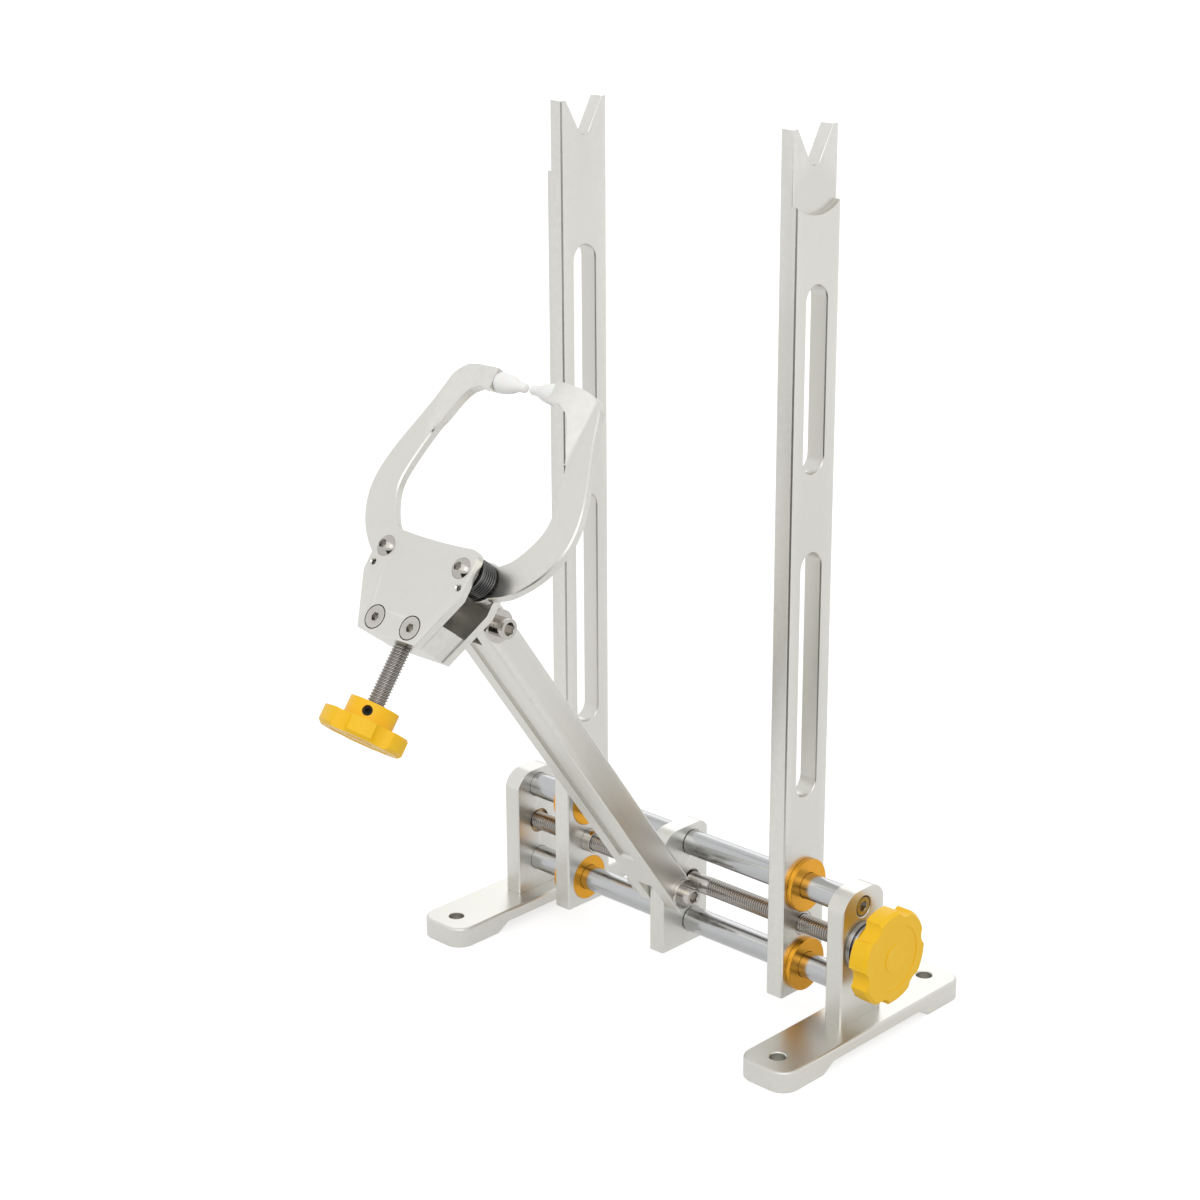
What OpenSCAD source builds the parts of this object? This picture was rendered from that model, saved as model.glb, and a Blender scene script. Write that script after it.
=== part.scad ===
// Bench wheel truing stand: two uprights that a leadscrew moves together, and a swinging
// arm that carries a screw-driven caliper. Millimetres. X runs along the guide rods,
// -Y is the front, where the arm leans out, and Z is up from the bench.

/* [Base] */
// Distance between the two feet, centre to centre
foot_spacing = 235; // [215:1:300]
// Length of a foot, front to back
foot_length = 149; // [130:1:200]
// Width of a foot
foot_width = 32.8; // [28:0.2:40]
// Thickness of a foot
foot_thickness = 11.6; // [10:0.2:16]
// Distance between the two bench holes of a foot
bench_hole_spacing = 121.8; // [100:0.2:126]
// Diameter of a bench hole
bench_hole_d = 8.5; // [6:0.1:10]

/* [End plates and bracket] */
// Thickness of an end plate
plate_thickness = 10.6; // [9:0.2:14]
// Width of an end plate, front to back
plate_width = 33.6; // [30:0.2:40]
// Height of the end plates above the bench
plate_top = 84.5; // [83:0.5:95]
// Thickness of the centre bracket
bracket_thickness = 10; // [8:0.5:12]

/* [Rods and leadscrew] */
// Diameter of a guide rod
rod_d = 14; // [12:0.5:16]
// Height of the lower rod's axis
lower_rod_z = 29.3; // [28:0.1:31]
// Height of the upper rod's axis
upper_rod_z = 74.6; // [74:0.1:78]
// Height of the leadscrew's axis
leadscrew_z = 52.4; // [52:0.1:54]
// Outer diameter of the leadscrew
leadscrew_d = 10; // [8:0.5:12]
// Pitch of both leadscrew threads
leadscrew_pitch = 1.5; // [1.5:0.5:3]

/* [Uprights] */
// Distance from an end plate to the upright beside it
upright_inset = 28.7; // [22:0.1:50]
// Thickness of an upright
upright_thickness = 10.8; // [9:0.2:12]
// Width of an upright, front to back
upright_width = 33.2; // [30:0.2:36]
// Height of the uprights' top
upright_top = 464.7; // [440:0.1:520]
// Height of the axle in its notch
axle_z = 450.2; // [430:0.1:500]

/* [Swing arm] */
// Distance between the arm's two pivots
arm_length = 228.7; // [200:0.2:240]
// Lean of the arm from upright, in degrees
arm_lean = 35.6; // [24:1:60]
// Width of the arm
arm_width = 28; // [24:0.5:32]
// Depth of the arm, front to back
arm_depth = 16.6; // [14:0.2:18]

/* [Caliper] */
// Lean of the caliper's plates from upright, in degrees
head_lean = 37; // [25:1:50]
// Thickness of a caliper plate
head_plate = 4.5; // [4:0.1:6]
// Depth of the caliper over both plates
head_depth = 26.3; // [26:0.1:30]
// Distance between the two caliper arm pivots
pivot_spacing = 51.4; // [48:0.2:56]
// Thickness of a caliper arm
caliper_arm_thickness = 4.8; // [4:0.1:5]
// Diameter of the caliper screw
caliper_screw_d = 9; // [8:0.5:10]
// Pitch of the caliper screw
caliper_pitch = 1.5; // [1:0.25:2]

/* [Knobs] */
// Diameter of the leadscrew knob
leadscrew_knob_d = 51; // [40:1:60]
// Diameter of the caliper knob
caliper_knob_d = 43; // [36:1:50]
// Lobes around a knob
knob_lobes = 6; // [5:1:8]

/* [Springs] */
// Wire diameter of the two arm springs
spring_wire_d = 1.1; // [0.9:0.1:1.1]
// Turns of the spring on the right arm
right_spring_turns = 6.5; // [3.5:1:6.5]
// Turns of the spring on the left arm
left_spring_turns = 2.5; // [1.5:1:2.5]

/* [Hidden] */
$fn = 64;

// Colours
aluminium = [0.80, 0.79, 0.76];
polished_steel = [0.70, 0.71, 0.72];
dark_steel = [0.38, 0.35, 0.33];
stainless = [0.62, 0.60, 0.57];
gold = [0.93, 0.52, 0.05];
bronze = [0.62, 0.47, 0.25];
yellow = [0.97, 0.80, 0.08];
black_steel = [0.06, 0.06, 0.06];
nylon = [0.93, 0.94, 0.90];

// Shared clearances and overruns
running_gap = 0.05;
bolt_gap = 0.1;
side_gap = 0.2;
clear_gap = 0.3;
overrun = 1;

// Base
foot_x = foot_spacing / 2;
foot_corner_r = 10;
foot_chamfer = 1;
foot_relief = 4.8;
relief_half_low = 44;
relief_half_high = 36;
plate_x = foot_x - 0.5;
plate_inner = plate_x - plate_thickness / 2;
plate_outer = plate_x + plate_thickness / 2;
plate_corner_r = 12;
edge_chamfer = 0.8;
rod_r = rod_d / 2;
rod_seat_depth = 2.5;
rod_end = plate_inner + rod_seat_depth;

// Socket screws, M6 and M5
m6_r = 3;
m6_head_r = 5;
m6_low_head = 4;
m6_head = 6;
m6_socket_af = 6;
low_head_socket_af = 5;
socket_depth = 2.6;
cap_socket_depth = 3.2;
socket_mouth = 0.6;
socket_mouth_share = 0.65;
m5_r = 2.5;
m5_socket_af = 3;
flat_socket_af = 4;
low_head_recess = 4.4;
counterbore_gap = 0.6;
counterbore_mouth = 0.5;
low_head_seat = plate_outer - low_head_recess;
rod_screw_length = 16;
foot_screw_y = 11;
foot_screw_length = 19;
countersunk_depth = 3;

// Bracket and arm pivots
bracket_front = -23;
bracket_back = 13;
bracket_bottom = 16;
bracket_top = 85;
bracket_back_r = 8;
bore_mouth = 0.6;
bracket_clear_r = 6.2;
lower_pivot_y = -17.3;
lower_pivot_z = 53;
set_screw_r = 2.5;

// Leadscrew
leadscrew_r = leadscrew_d / 2;
journal_r = 4;
thread_ratio = 0.45;
thread_crest = 0.5;
plain_half = 20;
bush_r = 7;
bush_recess = 2;
thread_end = plate_inner + bush_recess - clear_gap;
retaining_ring_r = 6;
retaining_ring_length = 1.8;
leadscrew_stub = 2.4;
race_r = 13;
race_thickness = 1.1;
cage_r = 12;
cage_thickness = 1.3;
knob_hub_start = plate_outer + 3.7;
knob_hub_length = 7.3;
knob_disc_length = 9.9;
knob_hub_r = 12.5;
knob_screw_r = 1;
knob_notch_r = 7.2;
knob_notch_out = 3.6;
knob_face_step = 0.3;
knob_face_share = 0.7;
knob_centre_share = 0.3;
knob_chamfer = 1.6;
knob_turn = 41;
knob_cap = 2;
leadscrew_end = knob_hub_start + knob_hub_length + knob_disc_length - knob_cap;

// Uprights
upright_bottom = 14.2;
upright_outer = plate_inner - upright_inset;
upright_inner = upright_outer - upright_thickness;
notch_r = 4;
notch_half_angle = 30;
recess_r = 27;
recess_depth = 3.1;
slot_r = 7.8;
slot_chamfer = 0.6;
upper_slot = [303.2, 381.6];
lower_slot = [131.6, 246.9];
sleeve_r = 12.7;
flange_r = 14.3;
flange_thickness = 3;
nut_r = 6.5;
nut_boss = 6;

// Swing arm, in its own frame: Z along the arm from the lower pivot, -Y to the front
arm_half = arm_width / 2;
arm_front = -arm_depth / 2;
arm_back = arm_depth / 2;
arm_end = 11.5;
arm_corner_r = 7;
fork_half = bracket_thickness / 2 + side_gap;
fork_front_top = 12;
fork_back_top = 33;
pocket_start = 36;
pocket_depth = 1.8;
pocket_floor = arm_front + pocket_depth;
pocket_ramp_start = 110;
pocket_shallow = 1.1;
head_fork_depth = 11;
washer_r = 8.3;
washer_thickness = 2.2;
nut_height = 6;
nut_af = 10;

// Caliper head, in its own frame: origin on the front plate's face between the two lower
// screws, X across, Y back through the plates and Z up along them
upper_pivot_depth = 50.4;
upper_pivot_up = 22.8;
head_bottom = -7.2;
head_bottom_half = 19.8;
head_half = 32.8;
head_shoulder = 20;
head_top = 44;
head_top_sag = 1.1;
head_corner_r = 5;
block_top = 6.4;
block_step = 1;
block_step_depth = 15.5;
block_screw_x = 12;
pivot_up = 33.9;
pivot_x = pivot_spacing / 2;
rear_face = head_depth - head_plate;
lug_half = bracket_thickness / 2;
lug_end_r = 8.5;
lug_low = 12.5;
lug_high = 32.5;
lug_screw_up = [15.6, 28.6];
block_screw_length = 12.4;
lug_screw_length = 14;
countersunk_r = 6.2;
countersunk_gap = 0.5;
countersunk_lip = 0.6;
countersunk_head_r = countersunk_r - countersunk_gap;
button_r = 5.4;
button_height = 3.1;
spring_hole_x = 29.2;
spring_hole_up = 24.8;
spring_hole_r = 1.25;
spring_hole_mouth_r = 2;
spring_hole_mouth = 0.8;

// Caliper arms
left_arm_front = 11.2;
right_arm_front = 16.6;
arm_boss_r = 10.3;
arm_sleeve_r = 5;
spool_r = 7;
nose_r = 3.2;
nose_distance = 21.5;
nose_angle = 10;
lever_half = 2.4;
lever_reach = 12;
tip_up = 130.1;
tip_depth = 16.3;
tip_r = 5.3;
tip_start = 19.75;
tip_boss_length = 7;
tip_ramp = 18;
tip_ramp_up = 32;
tip_nose_x = 1.7;
tip_nose_r = 2.5;
tip_stud_r = 2;
tip_stud_length = 6;
outline_steps = 4;
arm_outer = [
    [33.5, 27], [44.3, 31], [54, 39], [60.5, 47.5], [65, 58], [66, 68], [64.3, 79],
    [60.8, 90], [56.5, 101], [52, 113], [49.3, 122], [47, 128.5], [42, 133.2], [34, 135.2]
];
arm_inner = [
    [31.5, 122], [34.7, 117.5], [38.6, 108], [43.1, 95], [46.4, 82], [48.1, 71], [46.9, 63],
    [42.5, 54.5], [37, 47.5], [30, 43]
];

// Caliper screw
caliper_axis_depth = head_depth / 2;
caliper_screw_r = caliper_screw_d / 2;
pusher_half = 7;
pusher_bottom = 16.7;
pusher_pin_r = 2.5;
pusher_pin_length = 7;
caliper_hub_top = -37.5;
caliper_hub_length = 9;
caliper_hub_r = 12.3;
caliper_knob_length = 9;
caliper_notch_r = 6.3;
caliper_notch_out = 3.2;
caliper_set_screw_turn = 34;
caliper_set_screw_sink = 1.8;

// Springs
spring_r = spring_wire_d / 2;
spring_coil_r = 8.7;
spring_sides = 6;
spring_rings = 8;
spring_space = 0.45;
spring_pitch = spring_wire_d + spring_space;
spring_leg_start = 1.6;
spring_tail = 5;
gap_limit = 0.4;

head_y = lower_pivot_y - arm_length * sin(arm_lean)
    - upper_pivot_depth * cos(head_lean) - upper_pivot_up * sin(head_lean);
head_z = lower_pivot_z + arm_length * cos(arm_lean)
    + upper_pivot_depth * sin(head_lean) - upper_pivot_up * cos(head_lean);
nose_x = pivot_x - nose_distance * cos(nose_angle);
nose_up = pivot_up - nose_distance * sin(nose_angle);
pusher_top = nose_up - nose_r - clear_gap;

// Frames and plain shapes

module arm_frame()
    translate([0, lower_pivot_y, lower_pivot_z]) rotate([arm_lean, 0, 0]) children();

module head_frame()
    translate([0, head_y, head_z]) rotate([-head_lean, 0, 0]) children();

module mirrored() { children(); mirror([1, 0, 0]) children(); }

// A profile drawn in Y and Z, run along X
module yz(x0, x1)
    translate([x0, 0, 0]) rotate([90, 0, 90]) linear_extrude(x1 - x0) children();

// A profile drawn in X and Z, run along Y
module xz(y0, y1)
    translate([0, y1, 0]) rotate([90, 0, 0]) linear_extrude(y1 - y0) children();

module rod_x(x0, x1, r) translate([x0, 0, 0]) rotate([0, 90, 0]) cylinder(h = x1 - x0, r = r);

module rod_y(y0, y1, r) translate([0, y1, 0]) rotate([90, 0, 0]) cylinder(h = y1 - y0, r = r);

module hexagon(af) circle(r = af / sqrt(3), $fn = 6);

// A cap screw along +X: its head ends at x0 and its shank points along +X
module cap_screw_x(x0, head_r, head, r, length, af) {
    difference() {
        union() {
            rod_x(x0, x0 + head, head_r);
            rod_x(x0 + head, x0 + head + length, r);
        }
        translate([x0 - overrun, 0, 0]) rotate([0, 90, 0])
            linear_extrude(cap_socket_depth + overrun) hexagon(af);
        translate([x0 - overrun, 0, 0]) rotate([0, 90, 0])
            cylinder(h = socket_mouth + overrun, r1 = af * socket_mouth_share, r2 = af / 2);
    }
}

// A countersunk screw along +Y, flush at y = 0
module countersunk_screw_y(head_r, r, length) {
    difference() {
        union() {
            translate([0, countersunk_depth, 0]) rotate([90, 0, 0])
                cylinder(h = countersunk_depth, r1 = r, r2 = head_r);
            rod_y(countersunk_depth, length, r);
        }
        xz(-overrun, socket_depth) hexagon(flat_socket_af);
    }
}

// The seat that a countersunk screw along +Y needs
module countersink_y(head_r, r, length) {
    rod_y(-overrun, countersunk_lip, head_r);
    translate([0, countersunk_lip + countersunk_depth, 0]) rotate([90, 0, 0])
        cylinder(h = countersunk_depth, r1 = r, r2 = head_r);
    rod_y(-overrun, length, r + running_gap);
}

// A rectangle in Y and Z with its two upper corners rounded, r0 at y0 and r1 at y1
module topped_profile(y0, y1, z0, z1, r0, r1) {
    translate([y0 + r0, z0]) square([y1 - y0 - r0 - r1, z1 - z0]);
    translate([y0, z0]) square([r0, z1 - r0 - z0]);
    translate([y1 - r1, z0]) square([r1, z1 - r1 - z0]);
    translate([y0 + r0, z1 - r0]) circle(r = r0);
    translate([y1 - r1, z1 - r1]) circle(r = r1);
}

// A rectangle with its four corners cut at 45 degrees
module chamfered_rectangle(x0, x1, y0, y1, c)
    polygon([[x0 + c, y0], [x1 - c, y0], [x1, y0 + c], [x1, y1 - c],
             [x1 - c, y1], [x0 + c, y1], [x0, y1 - c], [x0, y0 + c]]);

module foot_plan(half_x, half_y, r) {
    square([2 * (half_x - r), 2 * half_y], center = true);
    square([2 * half_x, 2 * (half_y - r)], center = true);
    for (sx = [-1, 1], sy = [-1, 1]) translate([sx * (half_x - r), sy * (half_y - r)]) circle(r = r);
}

// Base

// A slab with rounded corners, its upper edge bevelled all round
module bevelled_slab(half_x, half_y, height, r, c) {
    low = height - c;
    linear_extrude(low) foot_plan(half_x, half_y, r);
    for (sx = [-1, 1], sy = [-1, 1]) translate([sx * (half_x - r), sy * (half_y - r), low])
        cylinder(h = c, r1 = r, r2 = r - c);
    xz(r - half_y, half_y - r)
        polygon([[-half_x, low], [half_x, low], [half_x - c, height], [c - half_x, height]]);
    yz(r - half_x, half_x - r)
        polygon([[-half_y, low], [half_y, low], [half_y - c, height], [c - half_y, height]]);
}

module foot_shape() {
    difference() {
        bevelled_slab(foot_width / 2, foot_length / 2, foot_thickness, foot_corner_r, foot_chamfer);
        yz(-foot_width, foot_width) polygon([
            [-relief_half_low, -overrun], [-relief_half_low, 0], [-relief_half_high, foot_relief],
            [relief_half_high, foot_relief], [relief_half_low, 0], [relief_half_low, -overrun]]);
        for (s = [-1, 1]) translate([0, s * bench_hole_spacing / 2, -overrun])
            cylinder(h = foot_thickness + 2 * overrun, d = bench_hole_d);
        for (s = [-1, 1]) translate([plate_x - foot_x, s * foot_screw_y, foot_relief]) {
            cylinder(h = countersunk_depth, r1 = m6_head_r, r2 = m6_r);
            cylinder(h = foot_thickness, r = m6_r + running_gap);
        }
    }
}

module left_foot() color(aluminium) mirror([1, 0, 0]) translate([foot_x, 0, 0]) foot_shape();

module right_foot() color(aluminium) translate([foot_x, 0, 0]) foot_shape();

module foot_screws() color(stainless) mirrored()
    for (s = [-1, 1]) translate([plate_x, s * foot_screw_y, foot_relief]) difference() {
        union() {
            cylinder(h = countersunk_depth, r1 = m6_head_r, r2 = m6_r);
            cylinder(h = foot_screw_length, r = m6_r);
        }
        translate([0, 0, -overrun]) linear_extrude(socket_depth + overrun) hexagon(m5_socket_af);
    }

module end_plate_shape() {
    half_y = plate_width / 2;
    difference() {
        intersection() {
            yz(plate_inner, plate_outer)
                topped_profile(-half_y, half_y, foot_thickness, plate_top, plate_corner_r, plate_corner_r);
            linear_extrude(plate_top + overrun)
                chamfered_rectangle(plate_inner, plate_outer, -half_y, half_y, edge_chamfer);
        }
        for (z = [lower_rod_z, upper_rod_z]) translate([0, 0, z]) {
            rod_x(plate_inner - overrun, rod_end, rod_r + running_gap);
            rod_x(plate_inner, plate_outer, m6_r + bolt_gap);
            rod_x(low_head_seat, plate_outer + overrun, m6_head_r + counterbore_gap);
            translate([plate_outer - counterbore_mouth, 0, 0]) rotate([0, 90, 0])
                cylinder(h = 2 * counterbore_mouth, r1 = m6_head_r + counterbore_gap,
                         r2 = m6_head_r + counterbore_gap + 2 * counterbore_mouth);
        }
        translate([0, 0, leadscrew_z]) rod_x(plate_inner - overrun, plate_outer + overrun, bush_r);
        for (s = [-1, 1]) translate([plate_x, s * foot_screw_y, 0])
            cylinder(h = foot_relief + foot_screw_length + overrun, r = m6_r + running_gap);
    }
}

module left_end_plate() color(aluminium) mirror([1, 0, 0]) end_plate_shape();

module right_end_plate() color(aluminium) end_plate_shape();

module guide_rod(z) {
    hole = rod_screw_length - (low_head_seat - rod_end) + overrun;
    translate([0, 0, z]) difference() {
        rod_x(-rod_end, rod_end, rod_r);
        mirrored() rod_x(rod_end - hole, rod_end + overrun, m6_r + running_gap);
    }
}

module upper_guide_rod() color(polished_steel) guide_rod(upper_rod_z);

module lower_guide_rod() color(polished_steel) guide_rod(lower_rod_z);

module rod_end_screws() color(stainless) mirrored()
    for (z = [lower_rod_z, upper_rod_z])
        translate([low_head_seat + m6_low_head, 0, z]) mirror([1, 0, 0])
            cap_screw_x(0, m6_head_r, m6_low_head, m6_r, rod_screw_length, low_head_socket_af);

module leadscrew_bushes() color(bronze) mirrored()
    translate([0, 0, leadscrew_z]) difference() {
        rod_x(plate_inner + bush_recess, plate_outer, bush_r);
        rod_x(plate_inner - overrun, plate_outer + overrun, journal_r + running_gap);
    }

module centre_bracket() {
    half_x = bracket_thickness / 2;
    color(aluminium) difference() {
        intersection() {
            yz(-half_x, half_x) topped_profile(
                bracket_front, bracket_back, bracket_bottom, bracket_top, plate_corner_r, bracket_back_r);
            linear_extrude(bracket_top + overrun)
                chamfered_rectangle(-half_x, half_x, bracket_front, bracket_back, edge_chamfer);
        }
        for (z = [lower_rod_z, upper_rod_z])
            translate([0, 0, z]) {
                rod_x(-bracket_thickness, bracket_thickness, rod_r);
                mirrored() rod_x(half_x - bore_mouth, half_x + overrun, rod_r + bore_mouth);
            }
        translate([0, 0, leadscrew_z]) rod_x(-bracket_thickness, bracket_thickness, bracket_clear_r);
        translate([0, lower_pivot_y, lower_pivot_z])
            rod_x(-bracket_thickness, bracket_thickness, m6_r + running_gap);
        translate([0, 0, upper_rod_z]) rod_y(0, bracket_back + overrun, set_screw_r + running_gap);
        cylinder(h = lower_rod_z, r = set_screw_r + running_gap);
    }
}

// Two grub screws that hold the bracket on the rods
module bracket_set_screws() {
    lower = lower_rod_z - rod_r;
    color(dark_steel) {
        translate([0, 0, upper_rod_z]) difference() {
            rod_y(rod_r, bracket_back, set_screw_r);
            xz(bracket_back - socket_depth, bracket_back + overrun) hexagon(set_screw_r);
        }
        translate([0, 0, bracket_bottom]) difference() {
            cylinder(h = lower - bracket_bottom, r = set_screw_r);
            translate([0, 0, -overrun]) linear_extrude(socket_depth + overrun) hexagon(set_screw_r);
        }
    }
}

module ring_x(x0, x1, outer, inner) difference() {
    rod_x(x0, x1, outer);
    rod_x(x0 - overrun, x1 + overrun, inner);
}

module outer_thrust_race() color(polished_steel) translate([0, 0, leadscrew_z])
    ring_x(plate_outer, plate_outer + race_thickness, race_r, journal_r + clear_gap);

// Leadscrew

// One threaded half as rings of the true pitch, from x0 to x1, as points of a turned profile
function thread_points(x0, x1, r, pitch, depth, crest) =
    [for (i = [0 : floor((x1 - x0) / pitch) - 1]) each [
        [r, x0 + i * pitch], [r, x0 + i * pitch + crest],
        [r - depth, x0 + i * pitch + pitch / 2], [r - depth, x0 + i * pitch + pitch / 2 + crest / 2]]];

module leadscrew() {
    half = thread_points(plain_half, thread_end, leadscrew_r,
                         leadscrew_pitch, leadscrew_pitch * thread_ratio, thread_crest);
    profile = concat(
        [[0, 0], [leadscrew_r, 0]], half,
        [[journal_r, half[len(half) - 1][1]]]);
    color(dark_steel) translate([0, 0, leadscrew_z]) {
        rotate([0, 90, 0]) rotate_extrude()
            polygon(concat(profile, [[journal_r, leadscrew_end], [0, leadscrew_end]]));
        rotate([0, -90, 0]) rotate_extrude()
            polygon(concat(profile, [[journal_r, plate_outer + leadscrew_stub],
                                     [0, plate_outer + leadscrew_stub]]));
    }
}

// A lobed disc with a bevelled rim and a sunk face, drawn from z = 0 down to its hub
module knob_shape(d, disc, hub, hub_r, notch_r, notch_out, bore_r) {
    difference() {
        union() {
            intersection() {
                translate([0, 0, -disc]) linear_extrude(disc) difference() {
                    circle(d = d);
                    for (i = [0 : knob_lobes - 1]) rotate(knob_turn + i * 360 / knob_lobes)
                        translate([d / 2 + notch_out, 0]) circle(r = notch_r);
                }
                union() {
                    translate([0, 0, -disc]) cylinder(h = disc - knob_chamfer, d = d);
                    translate([0, 0, -knob_chamfer])
                        cylinder(h = knob_chamfer, r1 = d / 2, r2 = d / 2 - knob_chamfer);
                }
            }
            translate([0, 0, -disc - hub]) cylinder(h = disc + hub - knob_cap, r = hub_r);
        }
        translate([0, 0, -knob_face_step]) difference() {
            cylinder(h = disc, r = d / 2 * knob_face_share);
            cylinder(h = disc, r = d / 2 * knob_centre_share);
        }
        translate([0, 0, -disc - hub - overrun])
            cylinder(h = disc + hub - knob_cap + overrun, r = bore_r);
    }
}

module leadscrew_knob() {
    face = knob_hub_start + knob_hub_length + knob_disc_length;
    color(yellow) translate([face, 0, leadscrew_z]) rotate([0, 90, 0]) difference() {
        knob_shape(leadscrew_knob_d, knob_disc_length, knob_hub_length, knob_hub_r,
                   knob_notch_r, knob_notch_out, journal_r);
        translate([0, 0, -knob_disc_length - knob_hub_length / 2]) rotate([0, 90, 0])
            cylinder(h = knob_hub_r + overrun, r = knob_screw_r + running_gap);
    }
}

module leadscrew_knob_set_screw() color(dark_steel)
    translate([knob_hub_start + knob_hub_length / 2, 0, leadscrew_z - knob_hub_r + overrun])
        cylinder(h = knob_hub_r - overrun - journal_r, r = knob_screw_r);

// The ring that holds the leadscrew's far end against its plate
module leadscrew_retaining_ring() color(polished_steel) mirror([1, 0, 0])
    translate([plate_outer + side_gap, 0, leadscrew_z])
        ring_x(0, retaining_ring_length, retaining_ring_r, journal_r);

module thrust_cage() color(bronze) translate([0, 0, leadscrew_z])
    ring_x(plate_outer + race_thickness + side_gap, plate_outer + race_thickness + side_gap + cage_thickness,
           cage_r, journal_r);

module inner_thrust_race() color(polished_steel) translate([0, 0, leadscrew_z])
    ring_x(plate_outer + race_thickness + side_gap + cage_thickness, knob_hub_start, race_r, journal_r);

// Uprights

// The notch that takes a wheel axle, from its round bottom up past the top
module notch_profile() {
    rise = upright_top + overrun - axle_z;
    low = notch_r * sin(notch_half_angle);
    half_low = notch_r * cos(notch_half_angle);
    half_high = half_low + (rise + low) * tan(notch_half_angle);
    translate([0, axle_z]) {
        circle(r = notch_r);
        polygon([[-half_low, -low], [half_low, -low], [half_high, rise], [-half_high, rise]]);
    }
}

module slot_profile(ends, r) {
    translate([-r, ends[0]]) square([2 * r, ends[1] - ends[0]]);
    for (z = ends) translate([0, z]) circle(r = r);
}

// The bevel around a slot's mouth on the face at x, widening towards +X
module slot_bevel(ends, x) {
    wide = slot_r + slot_chamfer + overrun;
    depth = slot_chamfer + overrun;
    for (z = ends) translate([x - slot_chamfer, 0, z]) rotate([0, 90, 0])
        cylinder(h = depth, r1 = slot_r, r2 = wide);
    translate([0, 0, ends[0]]) linear_extrude(ends[1] - ends[0]) polygon([
        [x - slot_chamfer, -slot_r], [x - slot_chamfer + depth, -wide],
        [x - slot_chamfer + depth, wide], [x - slot_chamfer, slot_r]]);
}

module upright_shape() {
    half_y = upright_width / 2;
    difference() {
        intersection() {
            yz(upright_inner, upright_outer) difference() {
                translate([-half_y, upright_bottom]) square([upright_width, upright_top - upright_bottom]);
                notch_profile();
                slot_profile(upper_slot, slot_r);
                slot_profile(lower_slot, slot_r);
            }
            linear_extrude(upright_top + overrun)
                chamfered_rectangle(upright_inner, upright_outer, -half_y, half_y, edge_chamfer);
        }
        translate([0, 0, axle_z]) rod_x(upright_outer - recess_depth, upright_outer + overrun, recess_r);
        for (ends = [upper_slot, lower_slot]) {
            slot_bevel(ends, upright_outer);
            translate([2 * upright_inner + upright_thickness, 0, 0]) mirror([1, 0, 0])
                slot_bevel(ends, upright_outer);
        }
        for (z = [lower_rod_z, upper_rod_z])
            translate([0, 0, z]) rod_x(upright_inner - overrun, upright_outer + overrun, sleeve_r);
        translate([0, 0, leadscrew_z]) rod_x(upright_inner - overrun, upright_outer + overrun, nut_r);
    }
}

module rod_bushings() for (z = [lower_rod_z, upper_rod_z]) translate([0, 0, z]) difference() {
    union() {
        rod_x(upright_inner, upright_outer, sleeve_r);
        rod_x(upright_outer, upright_outer + flange_thickness, flange_r);
    }
    rod_x(upright_inner - overrun, upright_outer + flange_thickness + overrun, rod_r + running_gap);
}

module leadscrew_nut() translate([0, 0, leadscrew_z])
    ring_x(upright_inner - nut_boss, upright_outer, nut_r, leadscrew_r + running_gap);

module left_upright() color(aluminium) mirror([1, 0, 0]) upright_shape();

module left_rod_bushings() color(gold) mirror([1, 0, 0]) rod_bushings();

module left_leadscrew_nut() color(stainless) mirror([1, 0, 0]) leadscrew_nut();

module right_upright() color(aluminium) upright_shape();

module right_rod_bushings() color(gold) rod_bushings();

module right_leadscrew_nut() color(stainless) leadscrew_nut();

// Swing arm

module arm_profile() {
    z0 = -arm_end;
    z1 = arm_length + arm_end;
    r = arm_corner_r;
    translate([arm_front + r, z0]) square([arm_depth - 2 * r, z1 - z0]);
    translate([arm_front, z0 + r]) square([arm_depth, z1 - z0 - 2 * r]);
    for (y = [arm_front + r, arm_back - r], z = [z0 + r, z1 - r]) translate([y, z]) circle(r = r);
}

module swing_arm() color(aluminium) arm_frame() difference() {
    intersection() {
        yz(-arm_half, arm_half) arm_profile();
        translate([0, 0, -arm_end - overrun]) linear_extrude(arm_length + 2 * (arm_end + overrun))
            chamfered_rectangle(-arm_half, arm_half, arm_front, arm_back, edge_chamfer);
    }
    yz(-fork_half, fork_half) polygon([
        [arm_front - overrun, -arm_end - overrun], [arm_front - overrun, fork_front_top],
        [arm_back + overrun, fork_back_top], [arm_back + overrun, -arm_end - overrun]]);
    yz(-fork_half, fork_half) polygon([
        [arm_front - overrun, pocket_start], [pocket_floor, pocket_start + pocket_floor - arm_front],
        [pocket_floor, pocket_ramp_start], [arm_front + pocket_shallow, arm_length - head_fork_depth],
        [arm_front - overrun, arm_length - head_fork_depth]]);
    translate([0, 0, arm_length - head_fork_depth]) linear_extrude(head_fork_depth + arm_end + overrun)
        square([2 * fork_half, 2 * arm_depth], center = true);
    for (z = [0, arm_length]) translate([0, 0, z]) rod_x(-arm_width, arm_width, m6_r + bolt_gap);
}

module at_pivots() arm_frame() for (z = [0, arm_length]) translate([0, 0, z]) children();

module pivot_bolts() {
    seat = arm_half + washer_thickness;
    length = 2 * seat + nut_height;
    color(stainless) at_pivots() translate([seat + m6_head, 0, 0]) mirror([1, 0, 0])
        cap_screw_x(0, m6_head_r, m6_head, m6_r, length, m6_socket_af);
}

module pivot_washers() color(stainless) at_pivots() mirrored()
    ring_x(arm_half, arm_half + washer_thickness, washer_r, m6_r + running_gap);

module pivot_nuts() {
    seat = arm_half + washer_thickness;
    color(stainless) at_pivots() difference() {
        yz(-seat - nut_height, -seat) hexagon(nut_af);
        rod_x(-seat - nut_height - overrun, -seat + overrun, m6_r + running_gap);
    }
}

// Caliper head

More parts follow.
